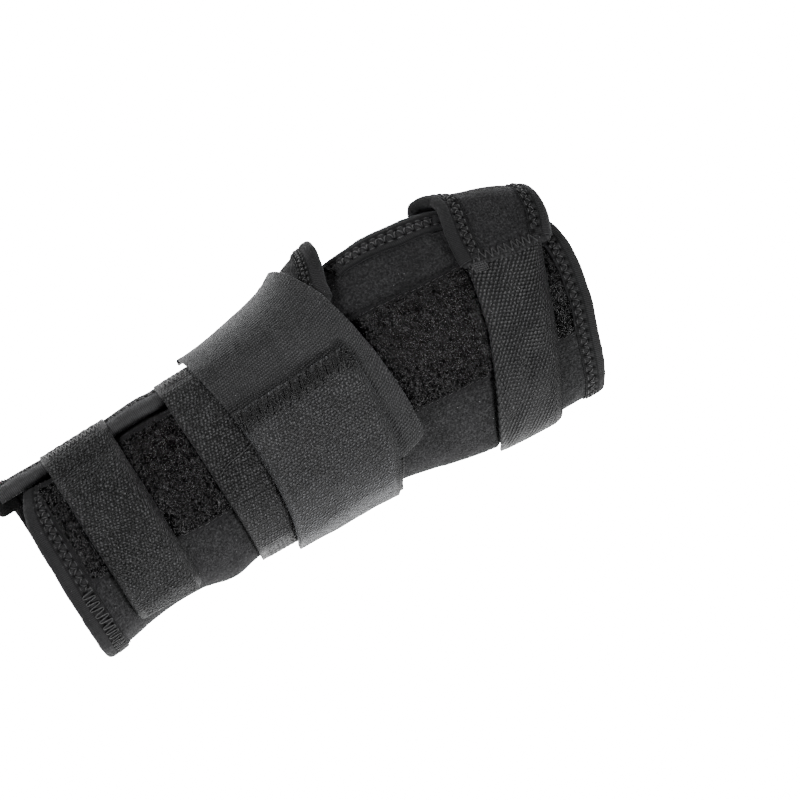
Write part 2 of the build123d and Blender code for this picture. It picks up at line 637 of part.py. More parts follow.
zigzag_planes = [
    surface_plane(x, s_at_y(x, 14.8, 6), tab_top(x, s_at_y(x, 14.8, 6)) + 0.1, 62 if k % 2 else -62)
    for k, x in enumerate(spread(-22.0, 23.0, 31))
]
with BuildPart() as zigzag_seam:
    with BuildSketch(*zigzag_planes):
        Rectangle(4.2, 0.4)
    extrude(amount=THREAD)
zigzag_seam.part.label = "zigzag_seam"

strap_stitch_planes = [
    [surface_plane(x, s_at_y(x, y, 6), strap_top(x, s_at_y(x, y, 6)) + 0.24, turn) for x in spread(x0 + 2.5, x1 - 2.5, 9) for y, turn in ((42.6, 40), (41.0, -40))]
    for x0, x1 in (PROX_STRAP_X, MID_STRAP_X)
]
with BuildPart() as proximal_strap_stitching:
    with BuildSketch(*strap_stitch_planes[0]):
        Rectangle(1.7, 0.4)
    extrude(amount=THREAD)
proximal_strap_stitching.part.label = "proximal_strap_stitching"
with BuildPart() as mid_strap_stitching:
    with BuildSketch(*[p for p in strap_stitch_planes[1] if p.origin.X < -31]):
        Rectangle(1.7, 0.4)
    extrude(amount=THREAD)
mid_strap_stitching.part.label = "mid_strap_stitching"

with BuildPart() as wrap_root_stitching:
    with BuildSketch(*[surface_plane(x, s_at_z(x, 20.6, True, 7), wrap_top(x, s_at_z(x, 20.6, True, 7)) + 0.22) for x in spread(-26, 11, 10)]):
        Rectangle(2.4, 0.4)
    extrude(amount=THREAD)
wrap_root_stitching.part.label = "wrap_root_stitching"

with BuildPart() as hand_strap_stitching:
    with BuildSketch(*[surface_plane(x, s_at_y(x, 24.2 - (x - 84) * 0.2, 5), web_top(x, 0.4) + 0.12, -8) for x in spread(93.5, 107, 5)]):
        Rectangle(2.2, 0.4)
    extrude(amount=THREAD)
hand_strap_stitching.part.label = "hand_strap_stitching"

with BuildPart() as loop_patch_stitching:
    with BuildSketch(
        *[surface_plane(x, s_at_y(x, -8.2 - (x + 100) * 0.066), LOOP_D + LOOP_PILE + 0.03, 0) for x in spread(-99, -48, 14)],
        *[surface_plane(x, s_at_y(x, -14.6 - (x - 34) * 0.095), LOOP_D + LOOP_PILE + 0.03, 0) for x in spread(37, 62, 7)],
    ):
        Rectangle(2.2, 0.3)
    extrude(amount=0.1)
loop_patch_stitching.part.label = "loop_patch_stitching"


def edge_rungs(places, d, turn):
    return [surface_plane(x, s, d + 0.08, turn) for x, s in places]


with BuildPart() as dorsal_edge_stitching:
    with BuildSketch(
        *edge_rungs([(-107.0, s) for s in spread(0.2, 1.08, 34)], FOLD + TAPE, 0),
        *edge_rungs([(x, dorsal_tuck(x, 0) + 0.045) for x in spread(41, 70, 11)], FOLD + TAPE, 90),
    ):
        Rectangle(2.6, 0.4)
    extrude(amount=THREAD)
dorsal_edge_stitching.part.label = "dorsal_edge_stitching"

with BuildPart() as stay_pocket_stitching:
    with BuildSketch(Plane.XY.offset(POCKET_T * 0)):
        with GridLocations(6.0, POCKET_W - 6.0, 30, 2):
            Rectangle(3.0, 0.5)
    extrude(amount=0.25)
# the stitches lie sunk in the pocket's wall, so the wall is cleared round them
with BuildPart() as stay_pocket_cut:
    add(stay_pocket.part)
    with BuildSketch(Plane.XY):
        with GridLocations(6.0, POCKET_W - 6.0, 30, 2):
            Rectangle(3.1, 0.6)
    extrude(amount=0.3, mode=Mode.SUBTRACT)
stay_pocket_cut.part.label = "stay_pocket"
stay_pocket_stitching.part.label = "stay_pocket_stitching"

# ---------------------------------------------------------------- one STEP per piece
export_step(volar_panel.part, "parts/volar_panel.step")
export_step(volar_proximal_binding.part, "parts/volar_proximal_binding.step")
export_step(volar_distal_binding.part, "parts/volar_distal_binding.step")
export_step(stay_pocket_cut.part, "parts/stay_pocket.step")
export_step(stay_pocket_stitching.part, "parts/stay_pocket_stitching.step")
export_step(palm_stay.part, "parts/palm_stay.step")
export_step(dorsal_panel.part, "parts/dorsal_panel.step")
export_step(dorsal_proximal_binding.part, "parts/dorsal_proximal_binding.step")
export_step(dorsal_distal_binding.part, "parts/dorsal_distal_binding.step")
export_step(thumb_arc_binding.part, "parts/thumb_arc_binding.step")
export_step(dorsal_loop_patch.part, "parts/dorsal_loop_patch.step")
export_step(dorsal_edge_stitching.part, "parts/dorsal_edge_stitching.step")
export_step(loop_patch_stitching.part, "parts/loop_patch_stitching.step")
export_step(radial_flap.part, "parts/radial_flap.step")
export_step(flap_edge_binding.part, "parts/flap_edge_binding.step")
export_step(flap_proximal_binding.part, "parts/flap_proximal_binding.step")
export_step(thumb_base_binding.part, "parts/thumb_base_binding.step")
export_step(proximal_strap.part, "parts/proximal_strap.step")
export_step(proximal_strap_hook.part, "parts/proximal_strap_hook.step")
export_step(proximal_strap_stitching.part, "parts/proximal_strap_stitching.step")
export_step(mid_strap.part, "parts/mid_strap.step")
export_step(mid_strap_hook.part, "parts/mid_strap_hook.step")
export_step(mid_strap_stitching.part, "parts/mid_strap_stitching.step")
export_step(wrist_wrap.part, "parts/wrist_wrap.step")
export_step(wrap_root_stitching.part, "parts/wrap_root_stitching.step")
export_step(zigzag_seam.part, "parts/zigzag_seam.step")
export_step(wrap_tab.part, "parts/wrap_tab.step")
export_step(wrap_tab_hook.part, "parts/wrap_tab_hook.step")
export_step(thumb_web_tab.part, "parts/thumb_web_tab.step")
export_step(web_tab_proximal_binding.part, "parts/web_tab_proximal_binding.step")
export_step(web_tab_distal_binding.part, "parts/web_tab_distal_binding.step")
export_step(hand_strap.part, "parts/hand_strap.step")
export_step(hand_strap_hook.part, "parts/hand_strap_hook.step")
export_step(hand_strap_stitching.part, "parts/hand_strap_stitching.step")
export_step(stay_tip_proximal.part, "parts/stay_tip_proximal.step")
export_step(stay_tip_distal.part, "parts/stay_tip_distal.step")
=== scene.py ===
# Wrist splint, lying palm down: +X runs to the fingers, +Y to the thumb, +Z up from the back of
# the hand. Lengths are in millimetres until they become a mesh, which is in metres.
#
# A place on the sleeve is (x, arc, height): arc goes round the section, height is off its surface.
# "Pattern y" is the y of the flat drawings, PATTERN_Y more than the frame's own y.
import math
from functools import cached_property

import bpy
import numpy as np
from mathutils import Matrix, Vector


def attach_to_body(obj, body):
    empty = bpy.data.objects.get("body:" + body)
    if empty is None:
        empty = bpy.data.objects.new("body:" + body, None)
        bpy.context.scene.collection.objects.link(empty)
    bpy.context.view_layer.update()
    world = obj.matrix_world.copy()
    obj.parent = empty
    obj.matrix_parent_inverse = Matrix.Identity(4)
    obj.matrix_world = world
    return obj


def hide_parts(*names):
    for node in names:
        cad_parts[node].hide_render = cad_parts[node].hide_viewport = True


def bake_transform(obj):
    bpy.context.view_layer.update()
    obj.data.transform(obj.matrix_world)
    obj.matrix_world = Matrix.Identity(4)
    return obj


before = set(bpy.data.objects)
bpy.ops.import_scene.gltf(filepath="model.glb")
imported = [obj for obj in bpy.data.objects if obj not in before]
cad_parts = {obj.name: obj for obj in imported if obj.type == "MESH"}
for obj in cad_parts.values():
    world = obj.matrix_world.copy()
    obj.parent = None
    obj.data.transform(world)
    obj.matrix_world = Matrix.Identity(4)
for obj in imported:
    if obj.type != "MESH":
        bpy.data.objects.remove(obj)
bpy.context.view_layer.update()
MM = 0.001
PI = math.pi

# ================================================================ driving dimensions
PATTERN_Y = 6.5
# x, little-finger side (pattern y), thumb side (pattern y), top z, z of the widest place
STATIONS = np.array([
    (-122.0, -33.6, 39.9, 58.4, 25.2), (-113.0, -33.0, 39.8, 58.0, 25.0),
    (-100.0, -31.3, 39.6, 57.2, 24.8), (-80.0, -29.3, 39.5, 56.0, 24.4),
    (-60.0, -30.3, 39.6, 54.6, 24.0), (-40.0, -31.2, 39.8, 53.2, 23.6),
    (-25.0, -32.0, 40.6, 52.2, 23.3), (-10.0, -32.8, 42.6, 51.2, 22.9),
    (5.0, -33.5, 45.0, 50.2, 22.5), (20.0, -35.6, 48.5, 49.0, 22.0),
    (35.0, -39.2, 51.0, 47.6, 21.5), (50.0, -42.2, 52.0, 46.0, 21.0),
    (65.0, -44.2, 51.2, 44.4, 20.5), (80.0, -45.4, 48.0, 42.8, 20.0),
    (95.0, -46.1, 42.0, 41.4, 19.6), (108.0, -46.6, 35.0, 40.4, 19.3),
    (122.0, -47.2, 27.0, 39.4, 19.0)])
POWER = 2.35            # superellipse power of the section's upper half
CORNER = 15.5           # half width of each lower corner
BOTTOM = 3.9            # z of the flat underside
FOAM_T = 3.0
STRAP_T = 1.3
WRAP_T = 1.4
TAB_T = 1.5
HINGE_Z = 13.0          # where the side pieces meet the palm piece
HINGE_GAP = 0.06 / 40   # slit along that line, in arc
GIRTH = 130.0           # rough millimetres to one unit of arc, for textures
BACK_GIRTH = 118.0      # the same over the back, for insets from an edge

PALM_X0 = -111.5
FLAP_X0, FLAP_X1 = -117.0, 34.5
FLAP_IN = 2.1           # height of the flap's inner face
WEB_IN = 2.2            # height of the thumb-web tab's inner face
FOREARM_X = (-93.5, -66.5)
MIDDLE_X = (-43.0, -18.0)
STRAP_HIGH, STRAP_LOW = FLAP_IN + FOAM_T + 0.9, 2.35
TAB_HIGH = STRAP_LOW + STRAP_T + 0.3 + WRAP_T + 0.3

# Bends between two bodies: body, body, start point, end point
DORSAL_BEND = ("palm_shell", "dorsal", (0, -48, 13.0), (0, -48, 20.0))
FLAP_BEND = ("palm_shell", "flap", (0, 40, 13.0), (0, 40, 18.0))
WRAP_BEND = ("flap", "wrap", (0, 48, 19.0), (0, 48, 31.0))
TAB_BEND = ("wrap", "tab", (0, 12.5, 55), (0, 3.0, 55))
WEB_BEND = ("palm_shell", "web", (98, 30, 13.0), (98, 30, 19.0))
HAND_BEND = ("web", "palm_strap", (96, 11.5, 44), (94.2, 3.2, 44))


# ================================================================ small maths
def ease(t):
    t = np.clip(t, 0, 1)
    return t * t * (3 - 2 * t)


def bell(distance, width):
    return np.exp(-(distance / width)**2)


def hump(x, start, end):
    """0 outside start..end, 1 in the middle."""
    return np.sin(PI * np.clip((x - start) / (end - start), 0, 1))**2


def band(x, start, end):
    """1 inside start..end and 0 outside, with soft ends."""
    return ease((x - start + 1.5) / 3.0) * ease((end - x + 1.5) / 3.0)


def lerp(start, end, part):
    return start + (end - start) * part


def ripple(cycles):
    """Cosine wave of 0..1."""
    return 0.5 + 0.5 * np.cos(2 * PI * cycles)


def linear(table, at):
    """Straight-line lookup in rows of (place, value)."""
    return np.interp(at, *np.array(table).T)


def hermite(table, x):
    """Smooth curve through rows of (x, value)."""
    knots, values = np.asarray(table, float).T
    slope = np.empty(len(knots))
    slope[1:-1] = (values[2:] - values[:-2]) / (knots[2:] - knots[:-2])
    slope[0] = (values[1] - values[0]) / (knots[1] - knots[0])
    slope[-1] = (values[-1] - values[-2]) / (knots[-1] - knots[-2])
    x = np.asarray(x, float)
    i = np.clip(np.searchsorted(knots, x, side="left") - 1, 0, len(knots) - 2)
    gap = knots[i + 1] - knots[i]
    t = (x - knots[i]) / gap
    return ((2 * t**3 - 3 * t**2 + 1) * values[i] + (t**3 - 2 * t**2 + t) * gap * slope[i]
            + (-2 * t**3 + 3 * t**2) * values[i + 1] + (t**3 - t**2) * gap * slope[i + 1])


def soft_noise(first, second, size, seed):
    """Smooth repeatable noise of about -1..1, with features of the given size."""
    cells = np.random.RandomState(seed).rand(64, 64) * 2 - 1
    first, second = np.asarray(first, float) / size, np.asarray(second, float) / size
    i, j = np.floor(first).astype(int), np.floor(second).astype(int)
    across, down = ease(first - i), ease(second - j)

    def row(below):
        return lerp(cells[i % 64, below % 64], cells[(i + 1) % 64, below % 64], across)

    return lerp(row(j), row(j + 1), down)


def run_along(points, axis=0):
    """Running length along one axis of an array of points, from 0."""
    steps = np.linalg.norm(np.diff(points, axis=axis), axis=-1)
    return np.insert(np.cumsum(steps, axis), 0, 0.0, axis=axis)


def dense(count):
    return max(8, int(count * (1.0)))


def grid(rows, columns):
    """Fractions 0..1 along x, as a column, and round the sleeve, as a row."""
    return np.linspace(0, 1, dense(rows))[:, None], np.linspace(0, 1, dense(columns))[None, :]


def relax(x, rounds, pull, other_of, x_of):
    """Settles x and another coordinate that depend on each other."""
    for _ in range(rounds):
        other = other_of(x)
        x = (1 - pull) * x + pull * x_of(x, other)
    return x, other


def from_edge(across, width):
    return np.minimum(across, width - across)


def round_corner(radius, distance):
    """How far a rounded corner cuts an end back, at a distance from the side."""
    return radius - np.sqrt(np.maximum(radius**2 - np.maximum(radius - distance, 0)**2, 0))


def end_cut(across, width, elbow_radius, finger_radius):
    """The same across a whole strap with a corner at each side of its end."""
    return np.where(across < width / 2, round_corner(elbow_radius, across),
                    round_corner(finger_radius, width - across))


# ================================================================ the sleeve's surface
def section(x, arc):
    """y and z of the surface. arc is 0..1 over the back from the thumb side, then 1..1.5 round a
    lower corner, 1.5..2.5 under the palm and 2.5..3 round the corner on the thumb side."""
    x, arc = np.broadcast_arrays(np.asarray(x, float), np.asarray(arc, float))
    low_y, high_y, crown, waist = (hermite(STATIONS[:, [0, k]], x) for k in (1, 2, 3, 4))
    middle, half = (low_y + high_y) / 2 - PATTERN_Y, (high_y - low_y) / 2
    flat, depth = half - CORNER, waist - BOTTOM
    arc = np.where(arc < 0, arc + 3, arc)
    cos, sin = np.cos(PI * np.clip(arc, 0, 1)), np.sin(PI * np.clip(arc, 0, 1))
    y = middle + half * np.sign(cos) * np.abs(cos)**(2 / POWER)
    z = waist + (crown - waist) * np.abs(sin)**(2 / POWER)
    angle = (np.clip(arc, 1, 1.5) - 1) * PI
    y = np.where(arc > 1, middle - flat - CORNER * np.cos(angle), y)
    z = np.where(arc > 1, waist - depth * np.sin(angle), z)
    y = np.where(arc > 1.5, middle - flat + 2 * flat * (np.clip(arc, 1.5, 2.5) - 1.5), y)
    z = np.where(arc > 1.5, BOTTOM, z)
    angle = (3 - np.clip(arc, 2.5, 3)) * PI
    y = np.where(arc > 2.5, middle + flat + CORNER * np.cos(angle), y)
    z = np.where(arc > 2.5, waist - depth * np.sin(angle), z)
    return y, z


def surface(x, arc, height=0.0):
    """Points off the surface, outwards by height. The result's last axis is x, y, z."""
    x, arc, height = np.broadcast_arrays(*(np.asarray(v, float) for v in (x, arc, height)))
    nudge = 0.012
    y0, z0 = section(x, arc - nudge)
    y1, z1 = section(x, arc + nudge)
    across, up = y1 - y0, z1 - z0
    span = np.hypot(across, up)
    y, z = section(x, arc)
    return np.stack([x, y + height * up / span, z - height * across / span], -1)


def pattern_y(x, arc, height=0.0):
    return surface(x, arc, height)[..., 1] + PATTERN_Y


def bisect(low, high, is_before):
    for _ in range(30):
        middle = (low + high) / 2
        before = is_before(middle)
        low, high = np.where(before, middle, low), np.where(before, high, middle)
    return (low + high) / 2


def arc_at_y(x, y, height=0.0):
    """Arc on the back where the surface has a pattern y."""
    return bisect(0.002, 0.998, lambda arc: pattern_y(x, arc, height) > y)


def arc_at_z(x, z, thumb, height=0.0):
    """Arc where the surface has a z, on the thumb side or on the other."""
    start, end = (-0.48, 0.45) if thumb else (1.48, 0.55)
    return bisect(start, end, lambda arc: surface(x, arc, height)[..., 2] < z)


X_KNOTS = np.arange(-126.0, 126.01, 0.5)


def tabled(function):
    """A function of x, worked out once at evenly spaced knots."""
    values = function(X_KNOTS)
    return lambda x: np.interp(x, X_KNOTS, values)


# ================================================================ mesh makers
def link(mesh, name):
    obj = bpy.data.objects.new(name, mesh)
    bpy.context.scene.collection.objects.link(obj)
    return obj


def make_mesh(name, verts, quads, uv, tris=()):
    """Smooth mesh from millimetres, wound so that its volume is positive."""
    verts = np.asarray(verts, float)
    quads = np.asarray(quads, int).reshape(-1, 4)
    tris = np.asarray(tris, int).reshape(-1, 3)
    split = np.concatenate([quads[:, [0, 1, 2]], quads[:, [0, 2, 3]], tris])
    a, b, c = (verts[split[:, k]] for k in range(3))
    if (a * np.cross(b, c)).sum() < 0:
        quads, tris = quads[:, ::-1], tris[:, ::-1]
    mesh = bpy.data.meshes.new(name)
    mesh.vertices.add(len(verts))
    mesh.vertices.foreach_set("co", (verts * MM).astype(np.float32).ravel())
    loops = np.concatenate([quads.ravel(), tris.ravel()])
    sizes = np.concatenate([np.full(len(quads), 4), np.full(len(tris), 3)])
    starts = np.concatenate([[0], np.cumsum(sizes)[:-1]])
    mesh.loops.add(len(loops))
    mesh.loops.foreach_set("vertex_index", loops.astype(np.int32))
    mesh.polygons.add(len(sizes))
    mesh.polygons.foreach_set("loop_start", starts.astype(np.int32))
    mesh.polygons.foreach_set("use_smooth", np.ones(len(sizes), bool))
    layer = mesh.uv_layers.new(name="UVMap")
    # one uv unit is 10 mm of cloth
    layer.data.foreach_set("uv", (np.asarray(uv, float)[loops] * 0.1).astype(np.float32).ravel())
    mesh.update(calc_edges=True)
    mesh.validate()
    return link(mesh, name)


def grid_quads(ids):
    corners = [ids[:-1, :-1], ids[1:, :-1], ids[1:, 1:], ids[:-1, 1:]]
    return np.stack(corners, -1).reshape(-1, 4)


def ring_quads(ids):
    """Quads between successive closed rings; the last axis goes round a ring."""
    after = np.roll(ids, -1, -1)
    corners = [ids[..., :-1, :], after[..., :-1, :], after[..., 1:, :], ids[..., 1:, :]]
    return np.stack(corners, -1).reshape(-1, 4)


def slab(name, x, arc, top, bottom, rim=6):
    """A closed sheet between two heights, its edges rounded in `rim` steps."""
    half = (np.broadcast_to(top, x.shape) - bottom) / 2
    middle = (np.broadcast_to(top, x.shape) + bottom) / 2
    points = surface(x, arc, middle)
    rows, columns = x.shape
    uv = np.stack(np.meshgrid(run_along(points, 0)[:, columns // 2],
                              run_along(points, 1)[rows // 2], indexing="ij"), -1)
    ids = np.arange(x.size).reshape(x.shape)
    ring = np.concatenate([ids[:, 0], ids[-1, 1:], ids[-2::-1, -1], ids[0, -2:0:-1]])
    i, j = np.unravel_index(ring, x.shape)

    # one millimetre outwards from the rim, in x and in arc
    out = np.zeros((2, len(ring)))
    sides = ((j == 0, 0, 1), (j == columns - 1, 0, -1), (i == 0, 1, 0), (i == rows - 1, -1, 0))
    for on_side, to_i, to_j in sides:
        k = np.where(on_side)[0]
        edge, inside = (i[k], j[k]), (i[k] + to_i, j[k] + to_j)
        gap = np.linalg.norm(points[edge] - points[inside], axis=-1) + 1e-9
        out[0, k] += (x[edge] - x[inside]) / gap
        out[1, k] += (arc[edge] - arc[inside]) / gap
    corner = ((j == 0) | (j == columns - 1)) & ((i == 0) | (i == rows - 1))
    out[:, corner] *= 0.72

    rings = []
    for k in range(1, rim):
        reach = half[i, j] * math.sin(PI * k / rim)
        height = middle[i, j] + half[i, j] * math.cos(PI * k / rim)
        rings.append(surface(x[i, j] + out[0] * reach, arc[i, j] + out[1] * reach, height))
    faces = [surface(x, arc, height).reshape(-1, 3) for height in (top, bottom)]
    flat_uv = uv.reshape(-1, 2)
    quads = grid_quads(ids)
    all_quads = [quads, quads[:, ::-1] + x.size]
    levels = [ring]
    levels += [2 * x.size + len(ring) * k + np.arange(len(ring)) for k in range(rim - 1)]
    levels += [ring + x.size]
    for upper, lower in zip(levels[:-1], levels[1:]):
        all_quads.append(np.stack([upper, lower, np.roll(lower, -1), np.roll(upper, -1)], -1))
    return make_mesh(name, np.concatenate(faces + rings), np.concatenate(all_quads),
                     np.concatenate([flat_uv, flat_uv] + [uv[i, j]] * (rim - 1)))


def thread_rings(points, radius, sides, mend):
    """Rings of points round threads. mend picks another reference where a thread nears it."""
    tangent = np.gradient(points, axis=-2)
    tangent /= np.linalg.norm(tangent, axis=-1, keepdims=True) + 1e-12
    side = np.cross(tangent, np.array([0.31, 0.17, 0.93]))
    if mend:
        near = np.linalg.norm(side, axis=-1) < 0.15
        side[near] = np.cross(tangent[near], [1.0, 0.2, 0.1])
    side /= np.linalg.norm(side, axis=-1, keepdims=True) + 1e-9
    other = np.cross(tangent, side)
    angle = (np.arange(sides) * 2 * PI / sides)[:, None]
    around = side[..., None, :] * np.cos(angle) + other[..., None, :] * np.sin(angle)
    return points[..., None, :] + radius * around


def tubes(name, lines, radius, sides=5):
    """Round threads along lines of points, thinner at their ends, all in one mesh."""
    verts, quads, caps, uv, first = [], [], [], [], 0
    for line in lines:
        taper = np.ones(len(line))
        taper[[0, -1]] = 0.55
        rings = thread_rings(line, radius * taper[:, None, None], sides, mend=True)
        verts.append(rings.reshape(-1, 3))
        uv.append(np.stack([np.repeat(run_along(line), sides),
                            np.tile(np.arange(sides) / sides, len(line))], -1))
        ids = first + np.arange(len(line) * sides).reshape(-1, sides)
        quads.append(ring_quads(ids))
        for cap in (ids[0][::-1], ids[-1]):
            caps += [[cap[0], cap[k], cap[k + 1]] for k in range(1, sides - 1)]
        first += ids.size
    return make_mesh(name, np.concatenate(verts), np.concatenate(quads), np.concatenate(uv), caps)


def fibres(name, lines, radius, sides):
    """Many threads of equal point count: lines is (threads, points, 3)."""
    count, length, _ = lines.shape
    rings = thread_rings(lines, radius, sides, mend=False)
    ids = np.arange(count * length * sides).reshape(count, length, sides)
    caps = []
    for k in range(1, sides - 1):
        caps.append(ids[:, 0][:, [0, k + 1, k]])
        caps.append(ids[:, -1][:, [0, k, k + 1]])
    uv = np.stack(np.meshgrid(np.linspace(0, 2, length), np.arange(sides) / sides,
                              indexing="ij"), -1)
    uv = np.broadcast_to(uv, (count, length, sides, 2)).reshape(-1, 2)
    return make_mesh(name, rings.reshape(-1, 3), ring_quads(ids), uv, np.concatenate(caps))


def paint_shade(obj, holes):
    """Stores painted shade for each point: how deep it lies in a needle hole, a pressed line or
    under a seam; the cloth's colour is darkened there.
    """
    full = np.zeros(len(obj.data.vertices), np.float32)
    flat = np.clip(np.asarray(holes, np.float32).ravel(), 0, 1)
    full[:len(flat)] = flat
    obj.data.attributes.new("hole", "FLOAT", "POINT").data.foreach_set("value", full)
    return obj


def dress(obj, *materials):
    obj.data.materials.clear()
    for material in materials:
        obj.data.materials.append(material)


def attach(obj, hold, *materials):
    """Dresses a piece and ties it to a body; given a bend between two bodies instead, it only
    bakes the piece's placement into its mesh. A piece whose name ends in _visual stands for the
    CAD piece named before it, which it hides."""
    dress(obj, *materials)
    if isinstance(hold, str):
        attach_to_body(obj, hold)
    else:
        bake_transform(obj)
    if obj.name.endswith("_visual"):
        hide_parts(obj.name.removesuffix("_visual"))


# ================================================================ taped and stitched edges
class Edge:
    """A panel's raw edge, resampled evenly, with its seam's pitch and two rows of needle holes.

    inward is 1 or -1, the side of the edge the panel lies on; rows are insets from the edge."""

    def __init__(self, x, arc, inward, top, bottom, pitch=3.1, rows=(4.2, 6.6), step=0.4):
        run = run_along(surface(x, arc, top(x, arc)))
        even = np.linspace(0, run[-1], max(4, int(run[-1] / step) + 1))
        self.x, self.arc = np.interp(even, run, x), np.interp(even, run, arc)
        self.top, self.bottom = top, bottom
        self.pitch, self.rows = pitch, rows

        height = top(self.x, self.arc)
        here = surface(self.x, self.arc, height)
        per_x = (surface(self.x + 0.05, self.arc, height) - here) / 0.05
        per_arc = (surface(self.x, self.arc + 0.001, height) - here) / 0.001
        normal = surface(self.x, self.arc, height + 1.0) - here
        tangent = np.gradient(here, axis=0)
        tangent /= np.linalg.norm(tangent, axis=1)[:, None]
        inside = np.cross(normal, tangent) * inward
        inside /= np.linalg.norm(inside, axis=1)[:, None]
        # one millimetre inwards, solved for x and arc
        x_x, x_arc = (per_x * per_x).sum(1), (per_x * per_arc).sum(1)
        arc_arc = (per_arc * per_arc).sum(1)
        by_x, by_arc = (inside * per_x).sum(1), (inside * per_arc).sum(1)
        scale = x_x * arc_arc - x_arc * x_arc
        self.x_in = (by_x * arc_arc - by_arc * x_arc) / scale
        self.arc_in = (by_arc * x_x - by_x * x_arc) / scale
        self.run = run_along(here)

    def at(self, run, inset, height):
        """Points inside the edge and above the panel, at a length along the edge."""
        x, arc, x_in, arc_in = (np.interp(run, self.run, values)
                                for values in (self.x, self.arc, self.x_in, self.arc_in))
        x, arc = x + x_in * inset, arc + arc_in * inset
        return surface(x, arc, self.top(x, arc) + height)


def needle_cell(run, pitch, shift, wander=0.06, seed=17):
    """Phase 0..1 along a row of needle holes, which lie at 0.5."""
    return (run / pitch + shift + wander * soft_noise(run, 0 * run, 4.0, seed)) % 1.0


def needle_row(from_row, cell, pitch, deep, hole, raised, ridge):
    """Relief of a row of needle holes, with swellings between them."""
    pit = deep * bell((cell - 0.5) * pitch, hole)
    swelling = raised * bell(np.minimum(cell, 1 - cell) * pitch, ridge)
    return bell(from_row, hole) * (swelling - pit)


def tape(name, edge, width, thick=0.55, lift=0.10, rim_fat=0.35, inner_width=None,
         pits=True, ribs=False):
    """Tape folded over an edge. Its outer face has a smooth rim, stitch pits and pressed lines."""
    outer = np.linspace(width, 0.0, 34)[None, :]
    fold = np.linspace(0, PI, 9)[None, 1:-1]
    inner = np.linspace(0.0, inner_width or width, 10)[None, :]
    run = edge.run[:, None]
    panel = (edge.top(edge.x, edge.arc) - edge.bottom(edge.x, edge.arc))[:, None]
    row_cells = [needle_cell(run, edge.pitch, shift) for shift in (0.0, 0.5)]
    press_row = edge.rows[0] - 1.25

    def bulge(inset):
        relief = rim_fat * bell(inset - 1.4, 1.7)
        relief = relief + 0.07 * soft_noise(run + inset * 0.3, inset, 5.0, 7)
        return relief + (0.07 * np.sin(run * 2 * PI / 1.15) if ribs else 0.0)

    out_bulge = bulge(outer) + 0.07 * soft_noise(run, outer, 1.3, 8)
    in_bulge = bulge(inner)
    if pits:
        for row, cell, deep in zip(edge.rows, row_cells, (0.62, 0.58)):
            out_bulge = out_bulge + needle_row(
                outer - row, cell, edge.pitch, deep=deep, hole=0.85, raised=0.26, ridge=0.75)
        out_bulge = (out_bulge - 0.30 * bell(outer - press_row, 0.28)
                     - 0.35 * bell(outer - width + 0.5, 0.35))

    def layer(part):
        """Points of the folded tape, at a part of its thickness."""
        clear = lift + thick * part
        radius = panel / 2 + clear + part / 2 * (
            out_bulge[:, -1:] * (1 + np.cos(fold)) + in_bulge[:, :1] * (1 - np.cos(fold)))
        insets = (outer + 0 * run, -radius * np.sin(fold) * 0.95, inner + 0 * run)
        heights = (clear + out_bulge * part, -panel / 2 + radius * np.cos(fold),
                   -panel - clear - in_bulge * part * 0.6)
        return edge.at(run, np.concatenate(insets, 1), np.concatenate(heights, 1))

    outside, inside = layer(1.0), layer(0.12)
    count, columns = outside.shape[:2]
    holes = np.zeros((count, columns))
    if pits:
        # painted shade: darker colour in the needle holes, along the pressed line and along the
        # tape's own edge
        pit_shade = 0.55 * bell(outer - press_row, 0.30) + 0.5 * bell(outer - width + 0.4, 0.35)
        for row, cell in zip(edge.rows, row_cells):
            pit_shade = pit_shade + 1.25 * bell(outer - row, 0.80) * bell((cell - 0.5) * edge.pitch, 0.80)
        holes[:, :outer.size] = pit_shade
    uv = np.stack(np.meshgrid(edge.run, run_along(outside[count // 2]), indexing="ij"), -1)
    uv = uv.reshape(-1, 2)
    a = np.arange(count * columns).reshape(count, columns)
    b = a + a.size
    quads = [
        grid_quads(a), grid_quads(b)[:, [0, 3, 2, 1]],
        np.stack([a[:-1, 0], b[:-1, 0], b[1:, 0], a[1:, 0]], -1),
        np.stack([a[:-1, -1], a[1:, -1], b[1:, -1], b[:-1, -1]], -1),
        np.stack([a[0, :-1], a[0, 1:], b[0, 1:], b[0, :-1]], -1),
        np.stack([a[-1, :-1], b[-1, :-1], b[-1, 1:], a[-1, 1:]], -1)]
    verts = np.concatenate([outside.reshape(-1, 3), inside.reshape(-1, 3)])
    return paint_shade(make_mesh(name, verts, np.concatenate(quads), np.concatenate([uv, uv])), holes)


